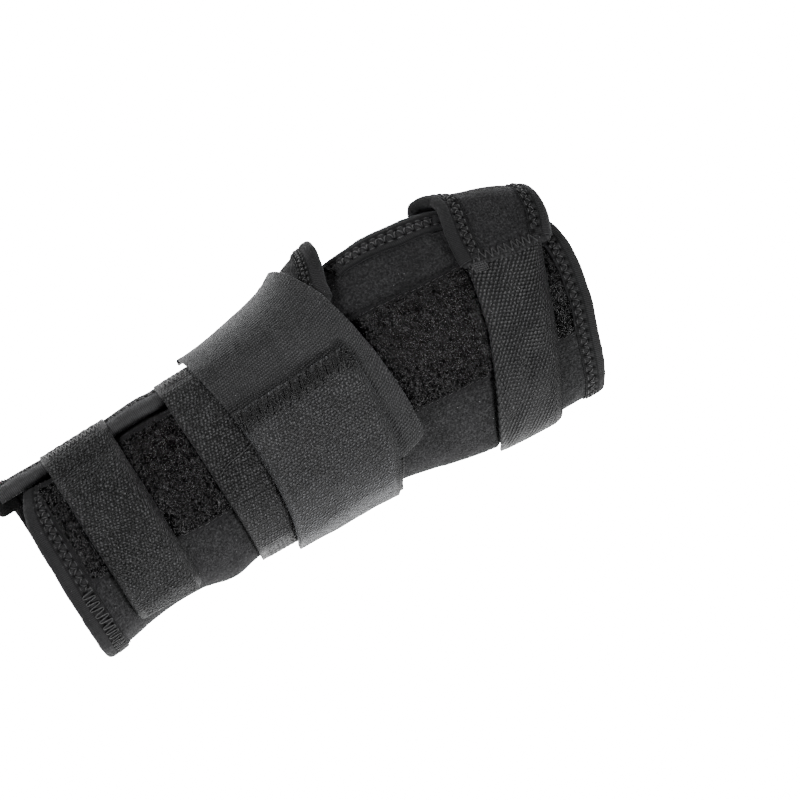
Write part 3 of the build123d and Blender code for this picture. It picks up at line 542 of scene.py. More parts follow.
def overlock(edge, height, seed, start=1.0, end=1.0, wild=0.25):
    """Flat-seam threads: slanted bridges between two staggered rows of needle holes."""
    random = np.random.RandomState(seed)
    pitch, (near, far) = edge.pitch, edge.rows
    sunk = height - 0.50
    bridge, bridge_arch = np.linspace(0.13, 0.87, 8), np.sin(PI * np.linspace(0, 1, 8))
    loop, loop_arch = np.linspace(0.20, 0.80, 7), np.sin(PI * np.linspace(0, 1, 7))
    lines = []
    stitch = math.ceil(start / pitch)
    while (stitch + 1) * pitch < edge.run[-1] - end:
        drift = 0.06 * float(soft_noise(stitch * pitch, 0.0, 4.0, 17))
        near_hole = (stitch + 0.5 - drift) * pitch
        far_hole = (stitch + 1.0 - drift) * pitch
        bridges = ((near_hole, near, far_hole, far, 0.30),
                   (far_hole, far, near_hole + pitch, near, -0.30))
        for run0, inset0, run1, inset1, bow in bridges:
            shake = random.uniform(-wild, wild, 5)
            lines.append(edge.at(lerp(run0, run1, bridge) + bow * bridge_arch + shake[0] * 0.3,
                                 lerp(inset0, inset1, bridge) + shake[1] * 0.3,
                                 sunk + 0.62 * bridge_arch**0.6))
        for run0, inset0, out in ((near_hole, near, -1), (far_hole, far, 1)):
            shake = random.uniform(-wild, wild, 3)
            lines.append(edge.at(run0 + pitch * loop + shake[0] * 0.2,
                                 inset0 + out * (0.15 + 0.35 * loop_arch) + shake[1] * 0.2,
                                 sunk + 0.50 * loop_arch))
        stitch += 1
    return lines


def serpentine(edge, start, end, pitch, near, far, height, seed):
    """Overcast stitches: one thread going to and fro across the edge."""
    turns = int((end - start) / pitch)
    turn = np.linspace(0, turns, turns * 18)
    swing = np.sin(2 * PI * turn)
    inset = ((near + far) / 2 + (far - near) / 2 * np.tanh(2.4 * swing)
             + 0.45 * soft_noise(turn, 0 * turn, 1.3, seed))
    return edge.at(start + turn * pitch + 0.25 * soft_noise(turn, 0 * turn, 0.8, seed + 1),
                   inset, height + 0.18 * (1 - np.abs(swing)**6))


def zigzag(xs, ys, fineness):
    """A thread through corners: its x, its y, and 0 at a corner to 1 between corners."""
    knots = np.arange(len(xs))
    place = np.linspace(0, len(xs) - 1, len(xs) * fineness)
    return (np.interp(place, knots, xs), np.interp(place, knots, ys),
            1 - np.abs((place % 1.0 - 0.5) * 2)**4)


# ================================================================ materials
class Shader:
    """Short forms for building a node material on the piece's own cloth, in millimetres."""

    def __init__(self, name):
        self.material = bpy.data.materials.new(name)
        self.material.use_nodes = True
        self.tree = self.material.node_tree
        self.bsdf = self.tree.nodes["Principled BSDF"]

    def put(self, value, socket):
        if isinstance(value, bpy.types.NodeSocket):
            self.tree.links.new(value, socket)
        else:
            socket.default_value = value

    def node(self, kind, inputs=None, **settings):
        node = self.tree.nodes.new("ShaderNode" + kind)
        for key, value in settings.items():
            setattr(node, key, value)
        for key, value in (inputs or {}).items():
            self.put(value, node.inputs[key])
        return node

    @cached_property
    def _uv_parts(self):
        uv = self.node("UVMap").outputs[0]
        return self.node("SeparateXYZ", {0: uv}).outputs

    @cached_property
    def u(self):
        return self.mul(self._uv_parts[0], 10.0)

    @cached_property
    def v(self):
        return self.mul(self._uv_parts[1], 10.0)

    @cached_property
    def uv(self):
        return self.node("CombineXYZ", {0: self.u, 1: self.v}).outputs[0]

    @cached_property
    def pos(self):
        place = self.node("TexCoord").outputs["Object"]
        return self.node("VectorMath", {0: place, 3: 1000.0}, operation="SCALE").outputs[0]

    def math(self, operation, a, b=0.0, c=0.0, clamp=False):
        return self.node("Math", {0: a, 1: b, 2: c}, operation=operation,
                         use_clamp=clamp).outputs[0]

    def add(self, first, *others):
        for other in others:
            first = self.math("ADD", first, other)
        return first

    def mul(self, a, b):
        return self.math("MULTIPLY", a, b)

    def fit(self, value, factor, plus, clamp=False):
        return self.math("MULTIPLY_ADD", value, factor, plus, clamp)

    def wave(self, along, pitch, phase=0.0):
        """0..1 sine, one wave for each pitch."""
        return self.fit(self.math("SINE", self.fit(along, 2 * PI / pitch, phase)), 0.5, 0.5)

    def noise(self, vector, size, detail=3.0, rough=0.55):
        return self.node("TexNoise", {"Vector": vector, "Scale": 1.0 / size, "Detail": detail,
                                      "Roughness": rough}).outputs[0]

    def cells(self, vector, size, random=1.0):
        return self.node("TexVoronoi", {"Vector": vector, "Scale": 1.0 / size,
                                        "Randomness": random}, feature="F1").outputs["Distance"]

    def vec(self, x, y):
        return self.node("CombineXYZ", {0: x, 1: y, 2: 0.0}).outputs[0]

    def ramp(self, factor, *stops):
        """Greys, a touch blue, at (position, brightness) stops."""
        node = self.node("ValToRGB", {0: factor})
        elements = node.color_ramp.elements
        while len(elements) > 1:
            elements.remove(elements[-1])
        for i, (position, grey) in enumerate(stops):
            stop = elements[0] if i == 0 else elements.new(position)
            stop.position = position
            stop.color = (grey, grey, grey * 1.03, 1)
        return node.outputs[0]

    def set(self, inputs):
        for name, value in inputs.items():
            self.put(value, self.bsdf.inputs[name])

    def bump(self, *layers):
        """Layers are (height, distance in mm, strength)."""
        last = None
        for height, distance, strength in layers:
            inputs = {"Strength": strength, "Distance": distance * MM, "Height": height}
            if last is not None:
                inputs["Normal"] = last
            last = self.node("Bump", inputs).outputs[0]
        self.set({"Normal": last})

    def lint(self, colour, amount, size=1.6):
        """A few pale specks of dust and fibre."""
        near = self.math("LESS_THAN", self.cells(self.pos, size), 0.085)
        some = self.math("GREATER_THAN", self.noise(self.pos, size * 2.3, detail=1.0), 0.60)
        factor = self.mul(self.mul(near, some), amount)
        # a colour Mix has its factor at 0 and its two colours at 6 and 7
        return self.node("Mix", {0: factor, 6: colour, 7: (0.34, 0.34, 0.35, 1)},
                         data_type="RGBA").outputs[2]


def cloth(name, weave, base, rough=0.9, sheen=0.35, lint=0.25, spread=0.35, spec=0.05):
    """Dark cloth. base is its grey, spread how far the weave's tint takes it from there. The tint
    paints light and shade into the colour: mostly paler where the weave stands up and darker in
    its hollows.
    """
    sh = Shader(name)
    layers, tint = weave(sh)
    soft = sh.noise(sh.pos, size=14.0, detail=2.0)
    fine = sh.noise(sh.pos, size=0.55, detail=2.0, rough=0.6)
    # painted highlight and shade: the tint follows the weave's relief; soft and fine add random
    # tone
    tone = sh.add(sh.mul(soft, 0.22), sh.mul(fine, 0.30), sh.mul(tint, 0.75))
    colour = sh.ramp(tone, (0.26, base * (1 - spread)), (0.62, base),
                     (1.0, base * (1 + spread * 2.2)))
    # painted shade: the hole attribute darkens the colour in needle holes, pressed lines and under
    # seams
    hole = sh.node("Attribute", attribute_name="hole").outputs["Fac"]
    darkened = sh.node("VectorMath", {0: sh.lint(colour, lint), "Scale": sh.fit(hole, -0.93, 1.0)},
                       operation="SCALE")
    sh.set({"Base Color": darkened.outputs[0],
            "Roughness": sh.fit(fine, 0.12, rough - 0.06),
            "Specular IOR Level": spec,
            "Sheen Weight": sheen,
            "Sheen Roughness": 0.35,
            "Sheen Tint": (0.9, 0.93, 1.0, 1)})
    sh.bump(*layers)
    return sh.material


# Each weave returns its bump layers (height, distance in mm, strength) and its tint, which is
# painted light: paler on raised parts, darker in hollows.
def knit(sh):
    wobble = sh.mul(sh.noise(sh.uv, size=5.0, detail=2.0), 1.2)
    rows = sh.wave(sh.add(sh.v, wobble), pitch=0.62)
    columns = sh.wave(sh.add(sh.u, wobble), pitch=0.8)
    stitch = sh.add(sh.mul(rows, 0.75), sh.mul(sh.mul(rows, columns), 0.5))
    fuzz = sh.noise(sh.pos, size=0.32, rough=0.7)
    grain = sh.fit(sh.noise(sh.pos, size=0.80, detail=2.0, rough=0.6), 3.0, -1.0, clamp=True)
    layers = [(stitch, 0.06, 0.8), (fuzz, 0.16, 0.9), (grain, 0.22, 1.0)]
    return layers, sh.add(sh.mul(stitch, 0.12), sh.mul(grain, 0.62))


def pebble(sh):
    """Elastic webbing: short slanted floats in broken, crinkled rows."""
    warp = sh.noise(sh.uv, size=2.4, detail=2.0)
    u = sh.add(sh.u, sh.mul(warp, 0.9))
    v = sh.add(sh.v, sh.mul(warp, 0.7))
    slanted = sh.vec(sh.add(u, sh.mul(v, 0.42)), sh.mul(v, 1.25))
    cell = sh.cells(slanted, size=1.38, random=0.42)
    bead = sh.math("SUBTRACT", 1.15, sh.mul(cell, 2.1), clamp=True)
    grain = sh.mul(bead, sh.fit(sh.noise(sh.pos, size=1.0, detail=1.0), 0.8, 0.45))
    stretched = sh.vec(sh.mul(sh.u, 0.5), sh.mul(sh.v, 2.2))
    fibre = sh.noise(stretched, size=0.3, detail=2.0, rough=0.7)
    return [(grain, 0.95, 1.0), (fibre, 0.14, 0.8)], grain


def twill(sh):
    bend = sh.mul(sh.noise(sh.uv, size=1.7, detail=2.0), 1.5)
    diagonal = sh.wave(sh.add(sh.u, sh.mul(sh.v, 0.62), bend), pitch=1.85)
    bend = sh.mul(sh.noise(sh.uv, size=1.1, detail=1.0), 0.9)
    cross = sh.wave(sh.add(sh.v, sh.mul(sh.u, -0.25), bend), pitch=1.40)
    grain = sh.mul(sh.math("POWER", diagonal, 1.2), sh.fit(cross, 0.75, 0.25))
    fibre = sh.noise(sh.pos, size=0.26, detail=2.0, rough=0.7)
    return [(grain, 0.7, 1.0), (fibre, 0.14, 0.8)], grain


def ribs(sh):
    pitch = 1.12
    broken = sh.noise(sh.vec(sh.mul(sh.u, 0.55), sh.mul(sh.v, 1.0)), size=1.2, detail=2.0)
    row = sh.wave(sh.add(sh.v, sh.mul(broken, 1.0)), pitch)
    stagger = sh.mul(sh.math("FLOOR", sh.math("DIVIDE", sh.v, pitch)), 0.42)
    column = sh.wave(sh.add(sh.u, sh.mul(broken, 1.4), stagger), pitch=0.95)
    grain = sh.mul(sh.fit(row, 0.7, 0.3), sh.fit(column, 0.7, 0.3))
    fuzz = sh.noise(sh.pos, size=0.32, detail=2.0, rough=0.7)
    tint = sh.add(sh.mul(grain, 0.95), sh.mul(fuzz, 0.25))
    return [(grain, 0.42, 1.0), (fuzz, 0.24, 0.9)], tint


def tape_weave(sh):
    grain = sh.add(sh.mul(sh.wave(sh.u, pitch=0.72), 0.7), sh.mul(sh.wave(sh.v, pitch=0.55), 0.35))
    fuzz = sh.noise(sh.pos, size=0.28, rough=0.7)
    return [(grain, 0.16, 0.9), (fuzz, 0.16, 0.8)], sh.mul(grain, 0.7)


def pile(sh):
    loops = sh.cells(sh.pos, size=0.55)
    swirl = sh.noise(sh.pos, size=0.4, rough=0.75)
    clump = sh.noise(sh.pos, size=3.2, detail=2.0)
    layers = [(loops, 0.5, 1.0), (swirl, 0.35, 1.0), (clump, 0.5, 0.6)]
    return layers, sh.add(sh.mul(swirl, 0.6), sh.mul(clump, 0.5))


def yarn(sh):
    twist = sh.wave(sh.add(sh.mul(sh.u, 1.0), sh.mul(sh.v, 0.6)), pitch=0.35)
    fuzz = sh.noise(sh.pos, size=0.15, detail=2.0, rough=0.7)
    return [(twist, 0.06, 0.8), (fuzz, 0.06, 0.8)], twist


def curl(sh):
    """Painted glints: some of the loops are coloured much paler, as if they caught the light, and
    most are nearly black.
    """
    painted_glint = sh.fit(sh.noise(sh.pos, size=0.85, detail=2.0, rough=0.6), 4.2, -1.75, clamp=True)
    fuzz = sh.noise(sh.pos, size=0.15, detail=2.0, rough=0.7)
    return [(fuzz, 0.06, 0.8)], painted_glint


def hooks(sh):
    studs = sh.mul(sh.wave(sh.u, pitch=1.1), sh.wave(sh.v, pitch=1.1))
    fuzz = sh.noise(sh.pos, size=0.3, detail=2.0)
    return [(studs, 0.4, 1.0), (fuzz, 0.1, 0.6)], studs


def plain_weave(sh):
    weave = sh.mul(sh.wave(sh.u, pitch=0.6), sh.wave(sh.v, pitch=0.6, phase=1.57))
    fuzz = sh.noise(sh.pos, size=0.3, detail=2.0, rough=0.6)
    return [(weave, 0.12, 0.9), (fuzz, 0.1, 0.7)], weave


def metal():
    sh = Shader("brushed_aluminium")
    brushed = sh.node("Mapping", {"Scale": (0.03, 5.0, 5.0), "Vector": sh.pos}).outputs[0]
    lines = sh.noise(brushed, size=1.0, rough=0.7)
    sh.set({"Base Color": sh.ramp(lines, (0.3, 0.26), (0.8, 0.36)),
            "Metallic": 1.0,
            "Roughness": sh.fit(lines, 0.25, 0.38)})
    sh.bump((lines, 0.05, 0.5))
    return sh.material


def dipped():
    sh = Shader("dipped_rubber")
    soft = sh.noise(sh.pos, size=1.2)
    sh.set({"Base Color": sh.ramp(soft, (0.3, 0.02), (0.8, 0.035)),
            "Roughness": sh.fit(soft, 0.2, 0.45)})
    sh.bump((soft, 0.15, 0.6))
    return sh.material


JERSEY = cloth("neoprene_jersey", knit, base=0.0088, sheen=0.025, lint=0.30,
               spread=0.85, spec=0.07)
TAPE = cloth("binding_tape", tape_weave, base=0.0080, sheen=0.025, spread=0.7,
             spec=0.07)
PILE = cloth("loop_pile", pile, base=0.0004, sheen=0.0, lint=0.2, spread=0.6,
             spec=0.0)
CURL = cloth("loop_fibre", curl, base=0.0062, rough=0.26, sheen=0.0, lint=0.0,
             spread=0.97, spec=0.22)
STRAP = cloth("strap_webbing", pebble, base=0.0165, rough=0.42, sheen=0.025, lint=0.3,
              spread=0.95, spec=0.08)
TWILL = cloth("hand_webbing", twill, base=0.0110, rough=0.42, sheen=0.02, lint=0.3,
              spread=0.95, spec=0.08)
TAB = cloth("tab_webbing", pebble, base=0.0170, rough=0.48, sheen=0.10, lint=0.3,
            spread=0.9, spec=0.12)
ROLLED = cloth("rolled_tape", tape_weave, base=0.0150, sheen=0.05, spread=0.8,
               spec=0.10)
RIBBED = cloth("ribbed_elastic", ribs, base=0.0088, rough=0.52, sheen=0.05,
               spread=0.9, spec=0.08)
SELVAGE = cloth("selvage", tape_weave, base=0.0060, sheen=0.04)
THREAD = cloth("sewing_thread", yarn, base=0.0100, rough=0.40, sheen=0.02, lint=0.0,
               spec=0.22)
DARK_THREAD = cloth("seam_thread", yarn, base=0.0042, rough=0.36, sheen=0.01, lint=0.0,
                    spec=0.14)
HOOK = cloth("hook_tape", hooks, base=0.006, rough=0.45, sheen=0.0, lint=0.1)
POCKET = cloth("pocket_cloth", plain_weave, base=0.012, sheen=0.06, lint=0.3)
METAL, RUBBER = metal(), dipped()


# ================================================================ outlines
def outline(*points, soft=2.5):
    """Smoothed x for a pattern y, from (x, pattern y) points."""
    rows = np.array(sorted((y, x) for x, y in points))
    knots = np.arange(-75.0, 75.01, 0.5)
    values = np.interp(knots, rows[:, 0], rows[:, 1])
    kernel = np.exp(-0.5 * (np.arange(-20, 21) * 0.5 / soft)**2)
    values = np.convolve(np.pad(values, 20, mode="edge"), kernel / kernel.sum(), mode="valid")
    return lambda y: np.interp(y, knots, values)


# Elbow-side and finger-side edges seen from above, as (x, pattern y)
BACK_END = outline(
    (101.5, -80), (102, -50), (102.8, -47.5), (104.6, -44), (109.2, -30), (114.7, -15),
    (118.3, 0), (119.4, 10), (118.0, 20), (114, 32), (107, 46), (99, 60), soft=2.0)
PALM_END = outline(
    (95, -70), (97.5, -44), (100, -30), (103, -15), (105, 0), (106, 12), (106, 24), (104, 38),
    (100, 70))
HAND_ELBOW = outline(
    (83.5, 27), (82, 21.9), (75, -5), (66, -25), (59, -40), (56, -52), (54, -60), soft=2.0)
HAND_FINGER = outline(
    (112, 20), (110.5, 13), (107, 5), (100.3, -12), (92.8, -30), (85.3, -45), (82.5, -60),
    soft=1.6)
WRAP_ELBOW = outline((-30.0, 62), (-29.7, 48), (-26, 30), (-24, 15), (-24, -30), soft=2.0)
WRAP_FINGER = outline(
    (14.5, 62), (14.5, 55), (20, 50), (27, 40), (31, 25), (33, 10), (34, -10), (33, -24),
    (31, -30), soft=1.6)
TAB_ELBOW = outline((-24, 40), (-24, -5), (-26, -25), (-29, -37), (-29.3, -50), soft=2.0)
TAB_FINGER = outline((25, 40), (25, 0), (23, -20), (20, -28), (15.5, -36), (13.5, -50), soft=2.0)
WEB_FINGER = outline((113.8, 12), (115.0, 15.5), (118.8, 22), (120.0, 27), (120.2, 32),
                     (119.0, 40), soft=1.2)

# (x, z) of the back panel's edge on the thumb side
TUCK_Z = [(-122, 36), (-60, 34), (-20, 32), (20, 31), (35, 31), (50, 30.5), (65, 30.5), (78, 29),
          (95, 27), (122, 25)]
# (x, pattern y) of the flap's long edge, and (x, height) of its flare round the thumb's root
FLAP_Y = [(-122, 38.0), (-60, 37.5), (-25, 36.5), (0, 36.0), (20, 36.0), (36, 37.5)]
FLARE = [(-122, 0.0), (-5, 0.0), (8, 0.5), (14, 1.6), (20, 3.4), (26, 4.4), (31, 5.2), (36, 5.6)]
# (arc, x) of the flap's finger end, which slants back towards the wrist on top
FLAP_END = [(-0.5, 34.0), (-0.1, 34.8), (0.02, 35.4), (0.12, 34.4), (0.18, 32.6), (0.23, 30.2),
            (0.30, 29.0)]
# (x, pattern y) of the loop patch's two long edges
PATCH_TOP = [(-104, 36.0), (-45, 34), (0, 30.5), (31, 28), (40, 26.5), (60, 24), (80, 22.5),
             (111, 18.0)]
PATCH_LOW = [(-104, -5.8), (-60, -10.0), (-45, -11), (0, -14.0), (34, -16.5), (50, -18),
             (68, -20), (96, -23), (112, -24)]
# (pattern y, x) of the back panel's elbow end, its corner rounded on the thumb side
ELBOW_END = np.array([
    (40.5, -101.0), (38.5, -101.9), (36.5, -103.4), (34.0, -105.2), (31.0, -106.7),
    (28.0, -107.8), (24.0, -108.8), (18.0, -109.3), (5.0, -109.6), (-15.0, -109.9),
    (-28.0, -110.0)])
ELBOW_ARC = np.concatenate([[0.0], arc_at_y(-113.0, ELBOW_END[:, 0]), [1.5]])
ELBOW_X = np.concatenate([[-100.6], ELBOW_END[:, 1], [-110.0]])
# (arc, x) of the thumb-web tab's elbow edge, and of its finger edge below arc 0
WEB_ELBOW = [(-0.48, 78.0), (-0.20, 78.0), (-0.06, 78.2), (0.00, 79.6), (0.05, 83.0),
             (0.10, 86.0), (0.16, 86.3), (0.22, 84.8), (0.27, 83.2), (0.32, 82.0), (0.37, 81.3),
             (0.42, 81.0)]
WEB_FINGER_LOW = [(-0.48, 106.0), (-0.36, 109.0), (-0.22, 114.0), (-0.08, 117.8), (0.0, 119.0)]
# (x, pattern y) of the tab's upper edge, before it is widened, and of the hand strap's root
WEB_Y = [(70, 24.6), (82.5, 22.3), (100, 17.3), (110.5, 16.3), (114.5, 15.5), (120, 15.0)]
HAND_ROOT_Y = [(70, 25.0), (82.0, 22.4), (100, 17.6), (110.5, 16.2), (120, 15.6)]

tuck = tabled(lambda x: arc_at_z(x, hermite(TUCK_Z, x), True))
hinge_thumb = tabled(lambda x: arc_at_z(x, HINGE_Z, True, -1.5))
hinge_ulnar = tabled(lambda x: arc_at_z(x, HINGE_Z, False, -1.5))
low_thumb = tabled(lambda x: arc_at_z(x, HINGE_Z, True))
flap_edge = tabled(lambda x: arc_at_y(x, hermite(FLAP_Y, np.clip(x, -122, 36)), FLAP_IN))
strap_last = tabled(lambda x: arc_at_y(x, np.where(x < -55, -22.5, -27.0), 2))
tab_turn = tabled(lambda x: arc_at_y(x, -30.5, 5))
hand_turn = tabled(lambda x: arc_at_y(x, 19, 4))


# ================================================================ heights of the layers
def level(x, arc):
    return 0.0 * x


def foam_inside(x, arc):
    return 0.0 * x - FOAM_T


def flap_lift(x, arc):
    above = arc - low_thumb(x)
    flare = hermite(FLARE, np.clip(x, -122, 36))
    return (-FOAM_T + (FLAP_IN + FOAM_T) * ease(above / 0.2)
            + flare * (1 - ease((arc - 0.10) / 0.22)) * ease(above / 0.12))


def strap_lift(x, arc):
    return (lerp(STRAP_HIGH, STRAP_LOW, ease((arc - flap_edge(x) - 0.015) / 0.075))
            - 1.5 * ease((arc - strap_last(x)) / 0.10))


def wrap_lift(x, arc):
    over = flap_lift(x, np.maximum(arc, 0.0)) + FOAM_T + 1.3 + STRAP_T
    return lerp(over, STRAP_LOW + STRAP_T + 0.3, ease((arc - flap_edge(x)) / 0.14))


def tab_lift(x, arc):
    return lerp(TAB_HIGH, 4.1, ease((arc - tab_turn(x)) / 0.12))


def web_lift(x, arc):
    flare = 1.0 * ease((x - 76.0) / 8.0) + 2.6 * ease((x - 92.0) / 20.0)
    flare = flare * ease((arc + 0.05) / 0.10) * (1 - ease((arc - 0.12) / 0.16))
    return -FOAM_T + (WEB_IN + FOAM_T) * ease((arc - low_thumb(x)) / 0.2) + flare


def hand_lift(x, arc):
    return lerp(WEB_IN + 1.4, STRAP_LOW, ease((arc - hand_turn(x) - 0.02) / 0.10))


def pressed(x, arc):
    """1 where a strap lies on the sleeve, 0 in the open."""
    y = pattern_y(x, arc)
    return np.maximum.reduce([
        band(x, *FOREARM_X), band(x, *MIDDLE_X),
        band(x, -30.0, 35.0) * ease((y + 45) / 6.0),
        band(x, HAND_ELBOW(y), HAND_FINGER(y)) * ease((26 - y) / 4.0)])


def puff(x, arc):
    """Foam swells a little where nothing presses on it, and creases softly beside the straps."""
    girth = arc * GIRTH
    swell = (0.75 * hump(x, -67.5, -42.0) + 0.45 * hump(x, -114.0, -92.0)
             + 0.55 * hump(x, 30.0, 92.0) + 0.3 * hump(x, 88, 122))
    crease = (0.28 * soft_noise(x, girth, 9.0, 11)
              + 0.16 * soft_noise(x + girth * 0.4, girth, 4.2, 12))
    side = ease((arc - 0.78) / 0.14) * (1 - ease((arc - 1.15) / 0.2))
    side = side * (1.3 * hump(x, -69.0, -40.0) + 0.7 * hump(x, 28.0, 80.0))
    return (1 - pressed(x, arc)) * (swell + crease + side)


def flap_outer(x, arc):
    girth = arc * GIRTH
    free = 1 - np.maximum.reduce([band(x, *FOREARM_X), band(x, *MIDDLE_X), band(x, -30.0, 20.0)])
    swell = (0.55 * hump(x, -67.0, -42.5) + 0.3 * hump(x, -118.0, -93.0)
             + 0.25 * soft_noise(x, girth, 8.0, 51) + 0.13 * soft_noise(x, girth, 3.6, 52))
    return flap_lift(x, arc) + FOAM_T + ease((arc - low_thumb(x)) / 0.08) * free * swell


def web_outer(x, arc):
    girth = arc * GIRTH
    swell = (0.2 * soft_noise(x, girth, 7.0, 91) + 0.1 * soft_noise(x, girth, 3.5, 92)
             + 0.35 * hump(x, 74, 120))
    return web_lift(x, arc) + FOAM_T + ease((arc - low_thumb(x)) / 0.08) * swell


def on_outline(line, arc, x, rounds):
    """x where the surface at each arc crosses an outline."""
    return relax(np.full(len(arc), x), rounds, 1, lambda x: arc,
                 lambda x, arc: line(pattern_y(x, arc)))[0]


# ================================================================ palm side
def palm_thumb_arc(x):
    """Thumb-side edge of the palm piece, scooped below the thumb opening."""
    scoop = 4.6 * ease((x - 35.5) / 6.0) * ease((76.5 - x) / 6.0)
    return arc_at_z(x, HINGE_Z - scoop, True, -1.5) + 3


def build_palm():
    thumb_arc = tabled(palm_thumb_arc)
    along, girth = grid(190, 150)
    x, arc = relax(
        lerp(PALM_X0, 104.0, along), 5, 1,
        lambda x: hinge_ulnar(x) + HINGE_GAP + (thumb_arc(x) - hinge_ulnar(x)) * girth,
        lambda x, arc: lerp(PALM_X0, PALM_END(pattern_y(x, arc)), along))
    bumps = np.minimum(0.22 * soft_noise(x, arc * 60, 8.0, 21), 0.1)
    obj = slab("volar_panel_visual", x, arc, bumps * ((arc < 1.45) | (arc > 2.55)), -FOAM_T)
    attach(obj, "palm_shell", JERSEY)

    arc = np.linspace(hinge_ulnar(PALM_X0) + 0.002, thumb_arc(PALM_X0) - 0.002, 400)
    edge = Edge(np.full(400, PALM_X0), arc, 1, level, foam_inside, step=0.5)
    obj = tape("volar_proximal_binding_visual", edge, 7.0, thick=0.40, lift=0.05, rim_fat=0.0)
    points = np.empty(len(obj.data.vertices) * 3, np.float32)
    obj.data.vertices.foreach_get("co", points)
    points = points.reshape(-1, 3)
    # the stay's soft tips slide out under the tape here
    lowest = 3.66 - 0.25 * np.maximum(np.abs(points[:, 1]) / MM - 19.5, 0.0)
    points[:, 2] = np.maximum(points[:, 2], lowest * MM)
    obj.data.vertices.foreach_set("co", points.ravel())
    obj.data.update()
    attach(obj, "palm_shell", TAPE)

    arc = np.linspace(hinge_ulnar(97.0) + 0.002, thumb_arc(101.0) - 0.002, 400)
    x = on_outline(PALM_END, arc, 103.0, 8)
    edge = Edge(x, arc, -1, level, foam_inside, step=0.5)
    obj = tape("volar_distal_binding_visual", edge, 7.0, lift=0.08, rim_fat=0.12)
    attach(obj, "palm_shell", TAPE)


# ---------------------------------------------------------------- the stay's pocket
POCKET_X = (-108.0, 92.0)
POCKET_WIDTH, POCKET_MOUTH = 46.0, 37.0
POCKET_Z = (0.0, 3.5)
POCKET_FLOOR = 1.0
POCKET_CORNER = 6.0     # rounding of its plan


def pocket_profile():
    """Closed (y, z) section: a floor, and side lips turned in over it."""
    half, mouth = POCKET_WIDTH / 2, POCKET_MOUTH / 2
    z0, z1 = POCKET_Z
    floor = z0 + POCKET_FLOOR

    def bend(y, z, radius, start):
        angles = [math.radians(start + 90 * k / 5) for k in range(6)]
        return [(y + radius * math.cos(a), z + radius * math.sin(a)) for a in angles]

    side = [(0, z0), (half * 0.35, z0), (half * 0.7, z0)]
    side += bend(half - 1.2, z0 + 1.2, 1.2, -90) + bend(half - 0.9, z1 - 0.9, 0.9, 0)
    side += [((half + mouth) / 2, z1)] + bend(mouth + 0.5, z1 - 0.5, 0.5, 90)
    side += [(mouth, floor + 0.3), (mouth - 0.4, floor), (mouth * 0.5, floor), (0, floor)]
    return np.array(side + [(-y, z) for y, z in side[-2:0:-1]])


def build_pocket():
    profile = pocket_profile()
    x0, x1 = POCKET_X
    z0, z1 = POCKET_Z
    count, around = dense(120), len(profile)
    x = np.linspace(x0, x1, count)
    half = POCKET_WIDTH / 2
    narrow = (half - round_corner(POCKET_CORNER, np.minimum(x - x0, x1 - x))) / half
    points = np.zeros((count, around, 3))
    points[..., 0] = x[:, None]
    points[..., 1] = profile[:, 0] * narrow[:, None]
    points[..., 2] = profile[:, 1]
    crease = 0.12 * soft_noise(points[..., 0], points[..., 1] * 2 + points[..., 2], 5.0, 31)
    points[..., 2] -= np.where(profile[:, 1] >= z1 - 0.3, np.abs(crease), 0)
    ids = np.arange(count * around).reshape(count, around)
    first, last = ids.size, ids.size + 1
    caps = []
    for i in range(around):
        j = (i + 1) % around
        caps += [[first, ids[0, j], ids[0, i]], [last, ids[-1, i], ids[-1, j]]]
    ends = [[end, 0, z0 + POCKET_FLOOR / 2] for end in POCKET_X]
    verts = np.concatenate([points.reshape(-1, 3), ends])
    uv = np.column_stack([verts[:, 0],
                          np.concatenate([np.tile(run_along(profile), count), [0, 0]])])
    obj = make_mesh("stay_pocket_visual", verts, ring_quads(ids), uv, caps)
    attach(obj, "palm_shell", POCKET)

    random = np.random.RandomState(5)
    lines = []
    part = np.linspace(0, 1, 6)
    for side in (-20, 20):
        for start in np.arange(-104.0, 88, 3.3):
            shake = random.uniform(-0.15, 0.15, 2)
            lines.append(np.column_stack([start + 2.6 * part, np.full(6, side + shake[0]),
                                          0.24 - 0.16 * np.sin(PI * part)]))
    obj = tubes("stay_pocket_stitching_visual", lines, 0.14, sides=6)
    attach(obj, "palm_shell", THREAD)


def dress_stay():
    """The aluminium stay keeps its CAD pieces."""
    dress(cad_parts["palm_stay"], METAL)
    for name in ("stay_tip_proximal", "stay_tip_distal"):
        dress(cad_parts[name], RUBBER)


# ================================================================ back of the hand
def back_elbow_x(arc):
    return np.interp(arc, ELBOW_ARC, ELBOW_X)


def back_thumb_arc(x):
    """Thumb-side edge: it bulges a little over the thumb opening."""
    return tuck(x) - 0.015 * ease((x - 33.0) / 6.0) * ease((91.0 - x) / 7.0)


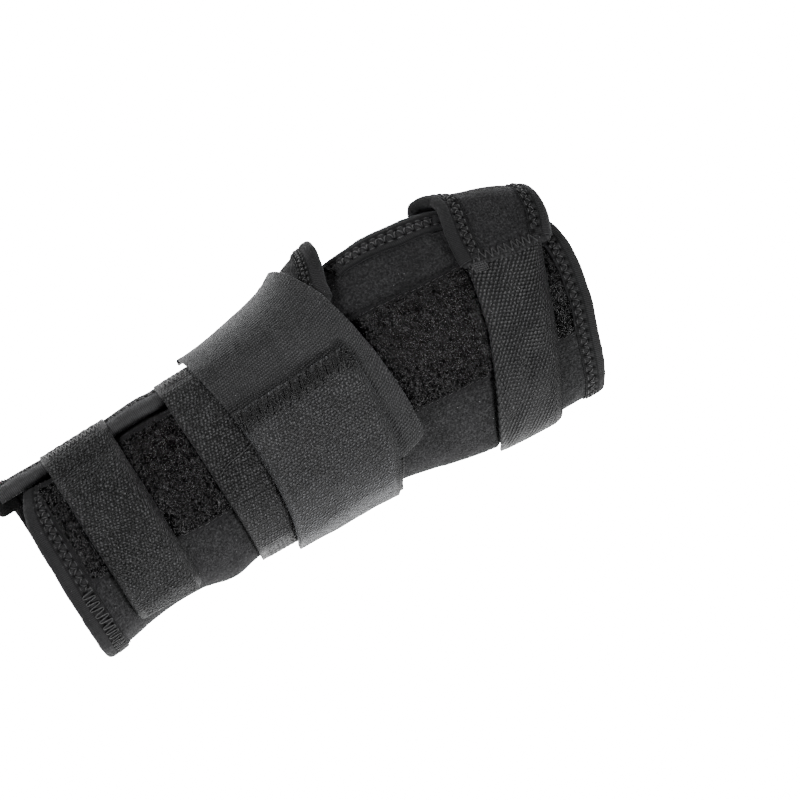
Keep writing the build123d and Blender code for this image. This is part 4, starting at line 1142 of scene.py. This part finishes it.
def build_dorsal():
    along, girth = grid(420, 260)
    x, arc = relax(
        lerp(-113.5, 113.5, along), 6, 1,
        lambda x: lerp(back_thumb_arc(x), hinge_ulnar(x) - HINGE_GAP, girth),
        lambda x, arc: lerp(back_elbow_x(arc), BACK_END(pattern_y(x, arc)), along))
    inside = -FOAM_T + 0.12 * soft_noise(x, arc * GIRTH, 8.0, 13)
    attach(slab("dorsal_panel_visual", x, arc, puff(x, arc), inside), DORSAL_BEND, JERSEY)

    arc = np.linspace(tuck(-113.0) + 0.004, hinge_ulnar(-113.0) - 0.004, 500)
    elbow = Edge(back_elbow_x(arc), arc, 1, puff, foam_inside, pitch=3.7, rows=(3.9, 6.5))
    attach(tape("dorsal_proximal_binding_visual", elbow, 8.2), DORSAL_BEND, TAPE)

    arc = np.linspace(tuck(114.0) + 0.004, hinge_ulnar(98.0) - 0.004, 600)
    x = on_outline(BACK_END, arc, 112.0, 10)
    finger = Edge(x, arc, -1, puff, foam_inside, pitch=3.7, rows=(3.0, 5.5))
    attach(tape("dorsal_distal_binding_visual", finger, 7.0), DORSAL_BEND, TAPE)

    x = np.linspace(35.0, 86.0, 200)
    thumb = Edge(x, back_thumb_arc(x), -1, puff, foam_inside, pitch=3.8, rows=(4.2, 7.9))
    attach(tape("thumb_arc_binding_visual", thumb, 11.2, inner_width=8.0), "dorsal", TAPE)

    # the elbow end changes from overlock to overcast stitches near its middle
    change = float(np.interp(arc_at_y(-109.0, -6.0), elbow.arc, elbow.run))
    lines = overlock(elbow, 0.80, seed=3, start=1.5, end=elbow.run[-1] - change)
    lines.append(serpentine(elbow, change + 0.6, elbow.run[-1] - 1.5, pitch=2.9, near=2.6,
                            far=7.2, height=0.80, seed=33))
    lines += overlock(finger, 0.80, seed=4, start=1.5, end=1.5)
    lines += overlock(thumb, 0.80, seed=5, start=1.2, end=3.0)
    attach(tubes("dorsal_edge_stitching_visual", lines, 0.22), DORSAL_BEND, THREAD)


PATCH_X0 = -101.0
PATCH_BASE = 0.30       # height of the patch's backing over the foam


def patch_base(x, arc):
    return PATCH_BASE + puff(x, arc)


def build_patch_cloth():
    along, girth = grid(640, 150)
    x, y = relax(
        lerp(PATCH_X0, 109.0, along), 6, 1,
        lambda x: lerp(linear(PATCH_TOP, x), linear(PATCH_LOW, x), girth),
        lambda x, y: lerp(PATCH_X0, BACK_END(y) - 7.0 - 0.8 * np.abs(2 * girth - 1)**3, along))
    arc = arc_at_y(x, y, 1.0)
    inset = np.minimum(from_edge(girth, 1) * 44, from_edge(along, 1) * 212 + 1.2)
    free = 1 - pressed(x, arc)
    raw = (soft_noise(x, y, 0.75, 41) * 0.55 + soft_noise(x, y, 1.7, 42) * 0.45
           + soft_noise(x, y, 5.0, 43) * 0.3)
    base = patch_base(x, arc)
    top = base + 0.62 + ease((inset - 1.5) / 0.7) * (0.34 + raw * (0.12 + 0.26 * free))
    obj = slab("dorsal_loop_patch_visual", x, arc, top, base - 0.18, rim=5)
    # the selvage: a strip round the top face, and the rim
    narrow = inset[:-1, :-1].ravel() < 1.6
    slots = np.zeros(len(obj.data.polygons), np.int32)
    slots[:narrow.size] = narrow
    slots[2 * narrow.size:] = 1
    # the faces keep this choice only once both materials are in place
    attach(obj, "dorsal", PILE, SELVAGE)
    obj.data.polygons.foreach_set("material_index", slots)


def build_loops():
    """The brushed loops themselves, flatter where a strap presses."""
    random = np.random.RandomState(77)
    count = 34000
    x = random.uniform(-100.2, 112, count * 2)
    across = random.uniform(0.038, 0.962, count * 2)
    y = lerp(linear(PATCH_TOP, x), linear(PATCH_LOW, x), across)
    arc = arc_at_y(x, y, 1.0)
    inside = x < BACK_END(y) - 8.4
    x, arc = x[inside][:count], arc[inside][:count]
    flat = pressed(x, arc)
    height = patch_base(x, arc) + 0.98 - 0.12 * flat
    start = random.uniform(0, 2 * PI, len(x))[:, None]
    radius = random.uniform(0.28, 0.75, len(x))[:, None]
    turn = random.uniform(2.2, 5.2, len(x))[:, None]
    rise = random.uniform(0.15, 0.62, len(x)) * (1 - 0.75 * flat)
    part = np.linspace(0, 1, 7)[None, :]
    angle = start + turn * part
    lines = surface(x[:, None] + radius * (np.cos(angle) - np.cos(start)),
                    arc[:, None] + radius * (np.sin(angle) - np.sin(start)) / BACK_GIRTH,
                    height[:, None] - 0.12 + rise[:, None] * np.sin(PI * part))
    attach(fibres("loop_fibres", lines, 0.095, sides=3), "dorsal", CURL)


def build_patch_stitching():
    random = np.random.RandomState(77 * 0)
    return random


def build_patch():
    build_patch_cloth()
    build_loops()
    stitch_patch()


def stitch_patch():
    """Straight stitches along the patch's long edges, left out under straps.

    They take their draws after those of the loops, from the same generator."""
    random = np.random.RandomState(77)
    skip_loop_draws(random)
    lines = []
    part = np.linspace(0, 1, 5)
    for table, inset in ((PATCH_LOW, 0.8), (PATCH_TOP, -0.8)):
        for start in np.arange(-98.5, 106, 2.9):
            y = float(linear(table, start)) + inset
            if start >= BACK_END(y) - 8.5 or (table is PATCH_TOP and start < 30):
                continue
            shake = random.uniform(-0.2, 0.2, 3)
            x = start + 2.0 * part + shake[0]
            arc = arc_at_y(x, y + shake[1], 1.0)
            if pressed(x, arc).max() < 0.3:
                height = patch_base(x, arc) + 0.70 + 0.14 * np.sin(PI * part)
                lines.append(surface(x, arc, height))
    attach(tubes("loop_patch_stitching_visual", lines, 0.15), "dorsal", THREAD)


def skip_loop_draws(random):
    """Advances a generator past everything build_loops draws."""
    count = 34000
    x = random.uniform(-100.2, 112, count * 2)
    across = random.uniform(0.038, 0.962, count * 2)
    y = lerp(linear(PATCH_TOP, x), linear(PATCH_LOW, x), across)
    kept = min(count, int((x < BACK_END(y) - 8.4).sum()))
    random.uniform(size=4 * kept)


# ================================================================ thumb-side flap
LONG_PITCH, LONG_ROWS = 3.4, (5.6, 8.2)     # needle holes beside the flap's long edge


def flap_arc(x, girth):
    return lerp(hinge_thumb(x) + HINGE_GAP, flap_edge(x), girth)


def flap_end_x(arc):
    return linear(FLAP_END, arc)


def flap_pits(x, arc):
    """Two rows of needle holes and a pressed line beside the long edge."""
    inset = (flap_edge(x) - arc) * BACK_GIRTH
    relief = -0.25 * bell(inset - 4.3, 0.3)
    for row, shift in zip(LONG_ROWS, (0.0, 0.5)):
        cell = needle_cell(x, LONG_PITCH, shift, wander=0.05, seed=18)
        relief = relief + needle_row(inset - row, cell, LONG_PITCH, deep=0.7, hole=0.75,
                                     raised=0.2, ridge=0.6)
    return relief


def build_flap():
    along, girth = grid(420, 150)
    x, arc = relax(lerp(FLAP_X0, FLAP_X1, along), 4, 1, lambda x: flap_arc(x, girth),
                   lambda x, arc: lerp(FLAP_X0, flap_end_x(arc), along))
    # the elbow-end corner of the long edge is rounded off over its last 7 of 48 mm
    near = np.clip(1 - (1 - girth) * 48.0 / 7.0, 0, 1)
    x = x + (1 - along)**3 * 2.2 * near**2.5
    arc = flap_arc(x, girth)
    pits = flap_pits(x, arc)
    obj = slab("radial_flap_visual", x, arc, flap_outer(x, arc) + pits, flap_lift(x, arc), rim=8)
    # painted shade: the needle holes and pressed line beside the long edge are darkened in the
    # colour
    attach(paint_shade(obj, -pits * 1.6), FLAP_BEND, JERSEY)

    x = np.linspace(FLAP_X0 + 2.6, FLAP_X1 - 5.2, 500)
    long_edge = Edge(x, flap_edge(x), 1, flap_outer, flap_lift, LONG_PITCH, LONG_ROWS)
    obj = tape("flap_edge_binding_visual", long_edge, 4.6, lift=0.12, rim_fat=0.30,
               inner_width=3.0, pits=False, ribs=True)
    attach(obj, "flap", ROLLED)

    corner = flap_edge(FLAP_X0)
    arc = np.linspace(hinge_thumb(FLAP_X0) + 0.004, corner - 0.012, 300)
    x = FLAP_X0 + 2.2 * ease((arc - corner + 0.06) / 0.06)**2
    elbow = Edge(x, arc, 1, flap_outer, flap_lift, rows=(3.6, 6.0))
    attach(tape("flap_proximal_binding_visual", elbow, 7.6, thick=0.5), FLAP_BEND, TAPE)

    arc = np.linspace(hinge_thumb(FLAP_X1) + 0.004, flap_edge(FLAP_X1 - 4.5) - 0.006, 300)
    thumb = Edge(flap_end_x(arc), arc, -1, flap_outer, flap_lift, pitch=2.6, rows=(4.2, 6.4))
    obj = tape("thumb_base_binding_visual", thumb, 7.6, thick=0.6, lift=0.12, rim_fat=0.5)
    attach(obj, FLAP_BEND, TAPE)

    lines = overlock(elbow, 0.75, seed=6) + overlock(thumb, 0.95, seed=7)
    attach(tubes("flap_edge_threads", lines, 0.21), FLAP_BEND, THREAD)
    lines = overlock(long_edge, 0.16, seed=8, start=2.0, end=20.0, wild=0.35)
    attach(tubes("flap_overlock_threads", lines, 0.20), FLAP_BEND, THREAD)


# ================================================================ straps
def pebbles(run, across, width, seed):
    """Relief of pebbled webbing over its selvages, 0..1, from lengths along and across it."""
    body = 0.25 + 0.75 * ease((from_edge(across, width) - 2.3) / 0.7)
    drift = (0.35 * soft_noise(across, run, 2.6, seed)
             + 0.16 * soft_noise(across, run, 0.9, seed + 31))
    row = (run + 0.42 * across + drift) / 1.55
    dash = (across - 0.30 * run + drift + 1.0 * np.floor(row)) / 2.0
    bead = ripple(row) * (0.35 + 0.65 * ripple(dash)**0.8)
    return body * np.clip(bead + 0.12 * soft_noise(across, run, 0.7, seed + 32), 0, 1)


def checks(run, across, width, seed):
    """Relief of webbing woven in a grid."""
    body = ease((from_edge(across, width) - 2.3) / 0.7)
    bent = across + 0.4 * soft_noise(run, across, 2.0, seed)
    return body * ripple(run / 1.6) * (0.65 + 0.35 * np.sin(2 * PI * bent / 1.8))


def webbing_slab(name, x, arc, base, relief, inset, wave):
    """A strap with its relief and slightly raised edges."""
    top = base + STRAP_T - 0.14 + relief + 0.12 * bell(inset, 0.9) + wave * 0.5
    return slab(name, x, arc, top, base + 0.02)


def hook_patch(name, x, arc, lift, hold, rim=3):
    """Hook tape under a strap's end."""
    base = lift(x, arc)
    attach(slab(name, x, arc, base - 0.1, base - 0.84, rim), hold, HOOK)


strap_root = tabled(lambda x: arc_at_y(x, 43.6, STRAP_HIGH))
STRAP_END_Y = [(-94.0, -26.6), (-67.0, -29.0)]      # (x, pattern y) of the forearm strap's end
strap_end = tabled(lambda x: np.where(x < -55, arc_at_y(x, linear(STRAP_END_Y, x), 2.0),
                                      arc_at_z(x, 24.0, False, 2.0)))


def strap(name, x_range, seed, weave, weave_height):
    """A strap laid across the back, from its root to its free end."""
    width = x_range[1] - x_range[0]
    along, girth = grid(95, 560)
    across = along * width
    waver = 0.22 * soft_noise(girth * 130, 0, 17.0, seed)
    x = x_range[0] + across + waver * (1 - 2 * across / width)
    end = (strap_end(x) - end_cut(across, width, 1.5, 5.0) / 42.0
           - 0.002 * soft_noise(across, 0 * across, 6.0, seed + 1))
    arc = lerp(strap_root(x), end, girth)
    base = strap_lift(x, arc)
    run = run_along(surface(x, arc, base), 1)
    return webbing_slab(name, x, arc, base, weave_height * weave(run, across, width, seed),
                        from_edge(across, width), 0.10 * soft_noise(x, run, 10.0, seed + 2))


def strap_root_threads(x0, x1, seed):
    """Pairs of stitches that cross the strap's root to and fro."""
    random = np.random.RandomState(seed)
    part = np.linspace(0, 1, 5)
    lines = []
    for start in np.arange(x0 + 1.6, x1 - 2.4, 1.8):
        shake = random.uniform(-0.2, 0.2, 4)
        for shift, y0, y1 in ((0.0, 42.9, 40.6), (0.9, 40.6, 42.9)):
            x = start + shift + 0.9 * part + shake[0] * 0.4
            arc = arc_at_y(x, lerp(y0, y1, part) + shake[1], STRAP_HIGH)
            height = strap_lift(x, arc) + STRAP_T + 0.16 + 0.14 * np.sin(PI * part)
            lines.append(surface(x, arc, height))
    return lines


def loose_thread():
    """A loose end of thread lying across the middle strap."""
    part = np.linspace(0, 1, 40)[6:]
    x = -44.5 + 20 * part + 0.8 * np.sin(7 * part)
    arc = arc_at_y(x, 0.5 + 7.5 * part + 1.2 * np.sin(5 * part), 3)
    return surface(x, arc, strap_lift(x, arc) + STRAP_T + 0.28 + 0.12 * np.sin(9 * part))


def build_straps():
    # name, body, x range, seed, weave, its height, end of the hook, end of the root stitching
    specs = (
        ("proximal_strap", "forearm_strap", FOREARM_X, 61, pebbles, 0.26, -22.5, FOREARM_X[1]),
        ("mid_strap", "middle_strap", MIDDLE_X, 65, checks, 0.2, -26.0, -30.5))
    for name, body, x_range, seed, weave, weave_height, hook_y, stitch_x in specs:
        bend = ("flap", body, (0, 35.5, 40), (0, 25.0, 40))
        attach(strap(name + "_visual", x_range, seed, weave, weave_height), bend, STRAP)
        along, girth = grid(40, 90)
        x = lerp(x_range[0] + 1.6, x_range[1] - 1.6, along) + 0 * girth
        arc = arc_at_y(x, lerp(12.0, hook_y, girth), 2)
        hook_patch(name + "_hook_visual", x, arc, strap_lift, bend)
        lines = strap_root_threads(x_range[0], stitch_x, seed)
        if name == "mid_strap":
            lines.append(loose_thread())
        attach(tubes(name + "_stitching_visual", lines, 0.17), bend, THREAD)


# ---------------------------------------------------------------- the wrist wrap and its tab
# (x, pattern y) of the wrap's end on the back
WRAP_END_Y = [(-30, -28.5), (20, -27.5), (30, -25.0), (34, -23.0), (40, -21.0)]


def build_wrap():
    root = tabled(lambda x: arc_at_z(x, 19.0, True, 7))
    end = tabled(lambda x: arc_at_y(x, linear(WRAP_END_Y, x), 4))
    along, girth = grid(190, 520)

    def place_x(x, arc):
        y = np.where(arc < 0.02, 60.0, pattern_y(x, np.maximum(arc, 0.0), 5.0))
        return lerp(WRAP_ELBOW(y), WRAP_FINGER(y), along)

    x, arc = relax(lerp(-30, 15, along), 12, 0.6, lambda x: lerp(root(x), end(x), girth), place_x)
    base = wrap_lift(x, arc)
    run = run_along(surface(x, arc, base), 1)
    run = run - run[:, -1:]
    fade = 0.35 + 0.65 * ease((arc - 0.10) / 0.16)
    wobble = 0.35 * soft_noise(x, run, 4.0, 71) + 0.12 * soft_noise(x, run, 1.3, 72)
    broken = np.clip(0.5 + 0.8 * soft_noise(x, run, 0.6, 77), 0, 1)
    relief = 0.21 * fade * ripple((run + wobble) / 1.12) * broken
    wave = 0.28 * soft_noise(x, run, 13.0, 73) + 0.10 * soft_noise(x, run, 5.0, 74)
    lip = 0.25 * bell(from_edge(along, 1) * 55, 1.0)
    top = base + WRAP_T - 0.15 + relief + lip + np.clip(wave, -0.2, 0.35)
    attach(slab("wrist_wrap_visual", x, arc, top, base + 0.03), WRAP_BEND, RIBBED)

    random = np.random.RandomState(9)
    lines = []
    part = np.linspace(0, 1, 5)
    for start in np.arange(-27.0, 11, 3.1):
        x = start + 2.3 * part
        arc = arc_at_z(x, 20.8 + random.uniform(-0.15, 0.15), True, 7)
        lines.append(surface(x, arc, wrap_lift(x, arc) + 1.42 + 0.2 * np.sin(PI * part)))
    attach(tubes("wrap_root_stitching_visual", lines, 0.16), WRAP_BEND, THREAD)


def side_y(x, arc, height):
    """Pattern y on the back, held past the little-finger side."""
    return np.where(arc > 0.97, -45.0, pattern_y(x, np.minimum(arc, 1.0), height))


def build_tab():
    root = tabled(lambda x: arc_at_y(x, 18.6, 6))
    end = tabled(lambda x: arc_at_z(x, 22.0, False, 4))
    along, girth = grid(170, 420)
    cut = end_cut(along * 45, 45, 4.0, 4.0) / 45.0

    def place_x(x, arc):
        y = side_y(x, arc, 6.0)
        return lerp(TAB_ELBOW(y), TAB_FINGER(y), along)

    x, arc = relax(lerp(-24, 24, along), 12, 0.6,
                   lambda x: lerp(root(x), end(x) - cut, girth), place_x)
    base = tab_lift(x, arc)
    run = run_along(surface(x, arc, base), 1)
    width = 47.0
    fade = 1 - 0.6 * ease((arc - 0.60) / 0.18)
    relief = 0.32 * fade * pebbles(run, along * width, width, 81)
    wave = 0.30 * soft_noise(x, run, 12.0, 83) + 0.12 * soft_noise(x, run, 4.5, 84)
    lip = 0.25 * bell(from_edge(along, 1) * width, 1.1)
    top = base + TAB_T - 0.15 + relief + lip + np.clip(wave, -0.22, 0.4)
    obj = slab("wrap_tab_visual", x, arc, top, base + 0.03, rim=7)
    # painted shade: the sewn end is darkened under the zigzag seam
    sewn = ease((pattern_y(x, arc, 6.0) - 10.4) / 1.6)
    paint_shade(obj, 0.62 * sewn * np.clip(0.8 + 0.5 * soft_noise(x, run, 1.2, 87), 0.2, 1))
    attach(obj, TAB_BEND, TAB)

    # hook tape, peeping out beyond the tab's finger-side edge
    along, girth = grid(60, 60)
    x, arc = relax(
        0 * along + 0 * girth, 8, 1,
        lambda x: lerp(arc_at_y(x, -27.5, 4), arc_at_z(x, 23.0, False, 4), girth),
        lambda x, arc: lerp(-15.0, TAB_FINGER(side_y(x, arc, 5.0)) + 1.9, along))
    hook_patch("wrap_tab_hook_visual", x, arc, tab_lift, TAB_BEND, rim=4)
    attach(tubes("zigzag_seam_visual", tab_seam(), 0.24, sides=6), TAB_BEND, DARK_THREAD)


def tab_seam():
    """Three layers of zigzag over the tab's sewn end, with loose curls at both its ends."""
    random = np.random.RandomState(12)
    lines = []
    count = 27
    for layer in range(3):
        xs, ys = [], []
        for k in range(count):
            xs.append(-23.2 + 46.6 * k / (count - 1) + random.uniform(-0.3, 0.3) + layer * 0.42)
            ys.append((17.6 if k % 2 else 11.8) + random.uniform(-0.7, 0.7))
        x, y, arch = zigzag(xs, ys, 14)
        arc = arc_at_y(x, y, 6)
        lines.append(surface(x, arc, tab_lift(x, arc) + 1.62 + 0.32 * arch + 0.1 * layer))
    part = np.linspace(0, 1, 8)
    for k in range(64):
        finger_end = k % 3 > 0
        x0 = (22.0 if finger_end else -23.4) + random.uniform(-1.4, 1.2)
        y0 = random.uniform(11.2, 18.2)
        slant = random.uniform(-0.9, 0.9)
        x = x0 + random.uniform(1.2, 3.6) * part * (1 if finger_end else -0.35)
        y = y0 + random.uniform(1.0, 3.0) * part * slant + 0.5 * np.sin(4 * part + k)
        arc = arc_at_y(x, y, 6)
        rise = random.uniform(0.1, 0.9) * np.sin(PI * part)
        droop = 0.8 * ease((x - 24.6) / 1.5)
        lines.append(surface(x, arc, tab_lift(x, arc) + 1.5 + rise - droop))
    return lines


# ================================================================ thumb-web tab and hand strap
web_top_arc = tabled(lambda x: arc_at_y(x, linear(WEB_Y, x) - 1.6, 3))


def web_place(along, girth, x):
    """x and arc of the tab at fractions along and round it."""
    def arc_of(x):
        return lerp(hinge_thumb(x) + HINGE_GAP, web_top_arc(x), girth)

    def x_of(x, arc):
        y = pattern_y(x, np.maximum(arc, 0.0), 2.0)
        finger = np.where(arc < 0.0, linear(WEB_FINGER_LOW, arc),
                          np.minimum(WEB_FINGER(y), 119.0 + 14 * arc))
        return lerp(linear(WEB_ELBOW, arc), finger, along)

    x, _ = relax(x, 14, 0.45, arc_of, x_of)
    return x, arc_of(x)


def build_web():
    along, girth = grid(110, 150)
    x, arc = web_place(along, girth, lerp(78, 116, along))
    obj = slab("thumb_web_tab_visual", x, arc, web_outer(x, arc), web_lift(x, arc), rim=8)
    attach(obj, WEB_BEND, JERSEY)

    part = np.linspace(0.02, 0.995, 400)
    x, arc = web_place(0.0, part, np.full(400, 80.0))
    elbow = Edge(x, arc, 1, web_outer, web_lift, pitch=3.7, rows=(4.0, 6.5))
    obj = tape("web_tab_proximal_binding_visual", elbow, 8.2, rim_fat=0.5)
    attach(obj, WEB_BEND, TAPE)
    x, arc = web_place(1.0, part, np.full(400, 116.0))
    finger = Edge(x, arc, -1, web_outer, web_lift, pitch=3.7, rows=(2.9, 5.1))
    obj = tape("web_tab_distal_binding_visual", finger, 6.6, thick=0.5, rim_fat=0.4)
    attach(obj, WEB_BEND, TAPE)
    lines = overlock(elbow, 0.80, seed=13, end=2.0) + overlock(finger, 0.75, seed=14, end=2.0)
    attach(tubes("web_tab_edge_threads", lines, 0.21), WEB_BEND, THREAD)


def build_hand_strap():
    root = tabled(lambda x: arc_at_y(x, linear(HAND_ROOT_Y, x), 4))
    end = tabled(lambda x: arc_at_z(x, 20.5, False, 3))
    along, girth = grid(130, 460)
    across = along * 28
    inset = from_edge(across, 28)
    cut = end_cut(across, 28, 2.0, 6.0) / 42.0

    def place_x(x, arc):
        y = pattern_y(x, np.minimum(arc, 1.0), 3.5)
        y = np.where(arc > 0.93, np.minimum(y, -44.0 - (arc - 0.93) * 60), y)
        return lerp(HAND_ELBOW(y), HAND_FINGER(y), along)

    x, arc = relax(lerp(80, 105, along), 16, 0.5,
                   lambda x: lerp(root(x), end(x) - cut, girth), place_x)
    base = hand_lift(x, arc)
    run = run_along(surface(x, arc, base), 1)
    weave_x = along * 27.0
    diagonal = weave_x + run * 0.55 + 0.3 * soft_noise(run, weave_x, 2.5, 95)
    relief = (0.22 * ease((inset - 2.3) / 0.7) * (0.5 + 0.5 * np.sin(2 * PI * diagonal / 1.85))
              * (0.6 + 0.4 * np.sin(2 * PI * (run - 0.3 * weave_x) / 1.40)))
    obj = webbing_slab("hand_strap_visual", x, arc, base, relief, inset,
                       0.14 * soft_noise(x, run, 11.0, 96))
    attach(obj, HAND_BEND, TWILL)

    along, girth = grid(40, 90)
    y = lerp(-4.0, -37.0, girth)
    x = lerp(HAND_ELBOW(y) + 2.2, HAND_FINGER(y) - 2.2, along)
    hook_patch("hand_strap_hook_visual", x, arc_at_y(x, y, 3), hand_lift, HAND_BEND)
    attach(tubes("hand_strap_stitching_visual", hand_seam(), 0.24), "web", THREAD)


def hand_seam():
    """Zigzag that joins the strap to the thumb-web tab, and a square tack at its elbow end."""
    random = np.random.RandomState(15)
    count = 21
    xs = [84.0 + 25.5 * k / (count - 1) + random.uniform(-0.3, 0.3) for k in range(count)]
    ys = [(1.9 if k % 2 else -1.7) + random.uniform(-0.4, 0.4) for k in range(count)]
    x, from_root, arch = zigzag(xs, ys, 10)
    arc = arc_at_y(x, linear(HAND_ROOT_Y, x) + from_root, 4)
    over = np.maximum(web_outer(x, arc), hand_lift(x, arc) + STRAP_T)
    lines = [surface(x, arc, over + 0.18 + 0.26 * arch)]
    part = np.linspace(0, 1, 8)
    for k in range(7):
        down = (np.full(8, 82.8 + k * 0.85), -5.7 + 5.4 * part, 0.12)
        across = (82.6 + 5.6 * part, np.full(8, -5.6 + k * 0.85), 0.22)
        for x, from_root, clear in (down, across):
            arc = arc_at_y(x, linear(HAND_ROOT_Y, x) + from_root, 4)
            over = np.where(from_root > -0.2, web_outer(x, arc), hand_lift(x, arc) + STRAP_T)
            lines.append(surface(x, arc, over + clear + 0.08 * np.sin(PI * part)))
    return lines


# ================================================================ floor, light, camera (metres)
def build_floor():
    half, z = 3, -0.0004
    mesh = bpy.data.meshes.new("floor")
    corners = [(-half, -half, z), (half, -half, z), (half, half, z), (-half, half, z)]
    mesh.from_pydata(corners, [], [(0, 1, 2, 3)])
    floor = link(mesh, "floor")
    sh = Shader("floor_paint")
    # far brighter to the camera than to the splint, so it shows as pure white
    seen = sh.node("LightPath").outputs["Is Camera Ray"]
    sh.set({"Base Color": (0.93, 0.93, 0.93, 1),
            "Roughness": 0.9,
            "Specular IOR Level": 0.1,
            "Emission Color": (1.0, 1.0, 1.0, 1),
            "Emission Strength": sh.fit(seen, 16.0, 2.2)})
    mesh.materials.append(sh.material)


def build_world():
    world = bpy.data.worlds.new("studio")
    bpy.context.scene.world = world
    world.use_nodes = True
    background = world.node_tree.nodes["Background"]
    background.inputs["Color"].default_value = (1.0, 1.0, 1.0, 1)
    background.inputs["Strength"].default_value = 0.26


def area(name, at, size, power):
    """Square lamp aimed at the splint."""
    aim = Vector((0.02, -0.01, 0.03))
    data = bpy.data.lights.new(name, "AREA")
    data.shape = "SQUARE"
    data.size = size
    data.energy = power
    lamp = link(data, name)
    lamp.location = at
    lamp.rotation_euler = (aim - Vector(at)).to_track_quat("-Z", "Y").to_euler()


def build_camera():
    """Looks down, tilted about y, with the picture turned so that +X runs up to the right."""
    field_width = 0.302
    tilt, spin = math.radians(6.0), math.radians(32)
    target = Vector((32.2, -15.5, 47.0)) * MM
    data = bpy.data.cameras.new("camera")
    camera = link(data, "camera")
    bpy.context.scene.camera = camera
    data.sensor_width = 36
    data.lens = 120
    data.clip_start, data.clip_end = 0.05, 10
    back = Vector((-math.sin(tilt), 0.0, math.cos(tilt)))
    right = Vector((math.cos(spin), -math.sin(spin), 0.0))
    right = (right - back * right.dot(back)).normalized()
    turn = Matrix((right, back.cross(right), back)).transposed().to_4x4()
    distance = field_width * 120 / 36
    camera.matrix_world = Matrix.Translation(target + back * distance) @ turn


del build_patch_stitching

build_palm()
build_pocket()
dress_stay()
build_dorsal()
build_patch()
build_flap()
build_straps()
build_wrap()
build_tab()
build_web()
build_hand_strap()

build_floor()
build_world()
area("key", at=(-0.45, 0.62, 0.70), size=0.30, power=24.0)
area("rim", at=(0.20, -0.76, 0.60), size=0.25, power=34.0)
area("fill", at=(0.75, -0.45, 0.9), size=0.3, power=6.0)
build_camera()
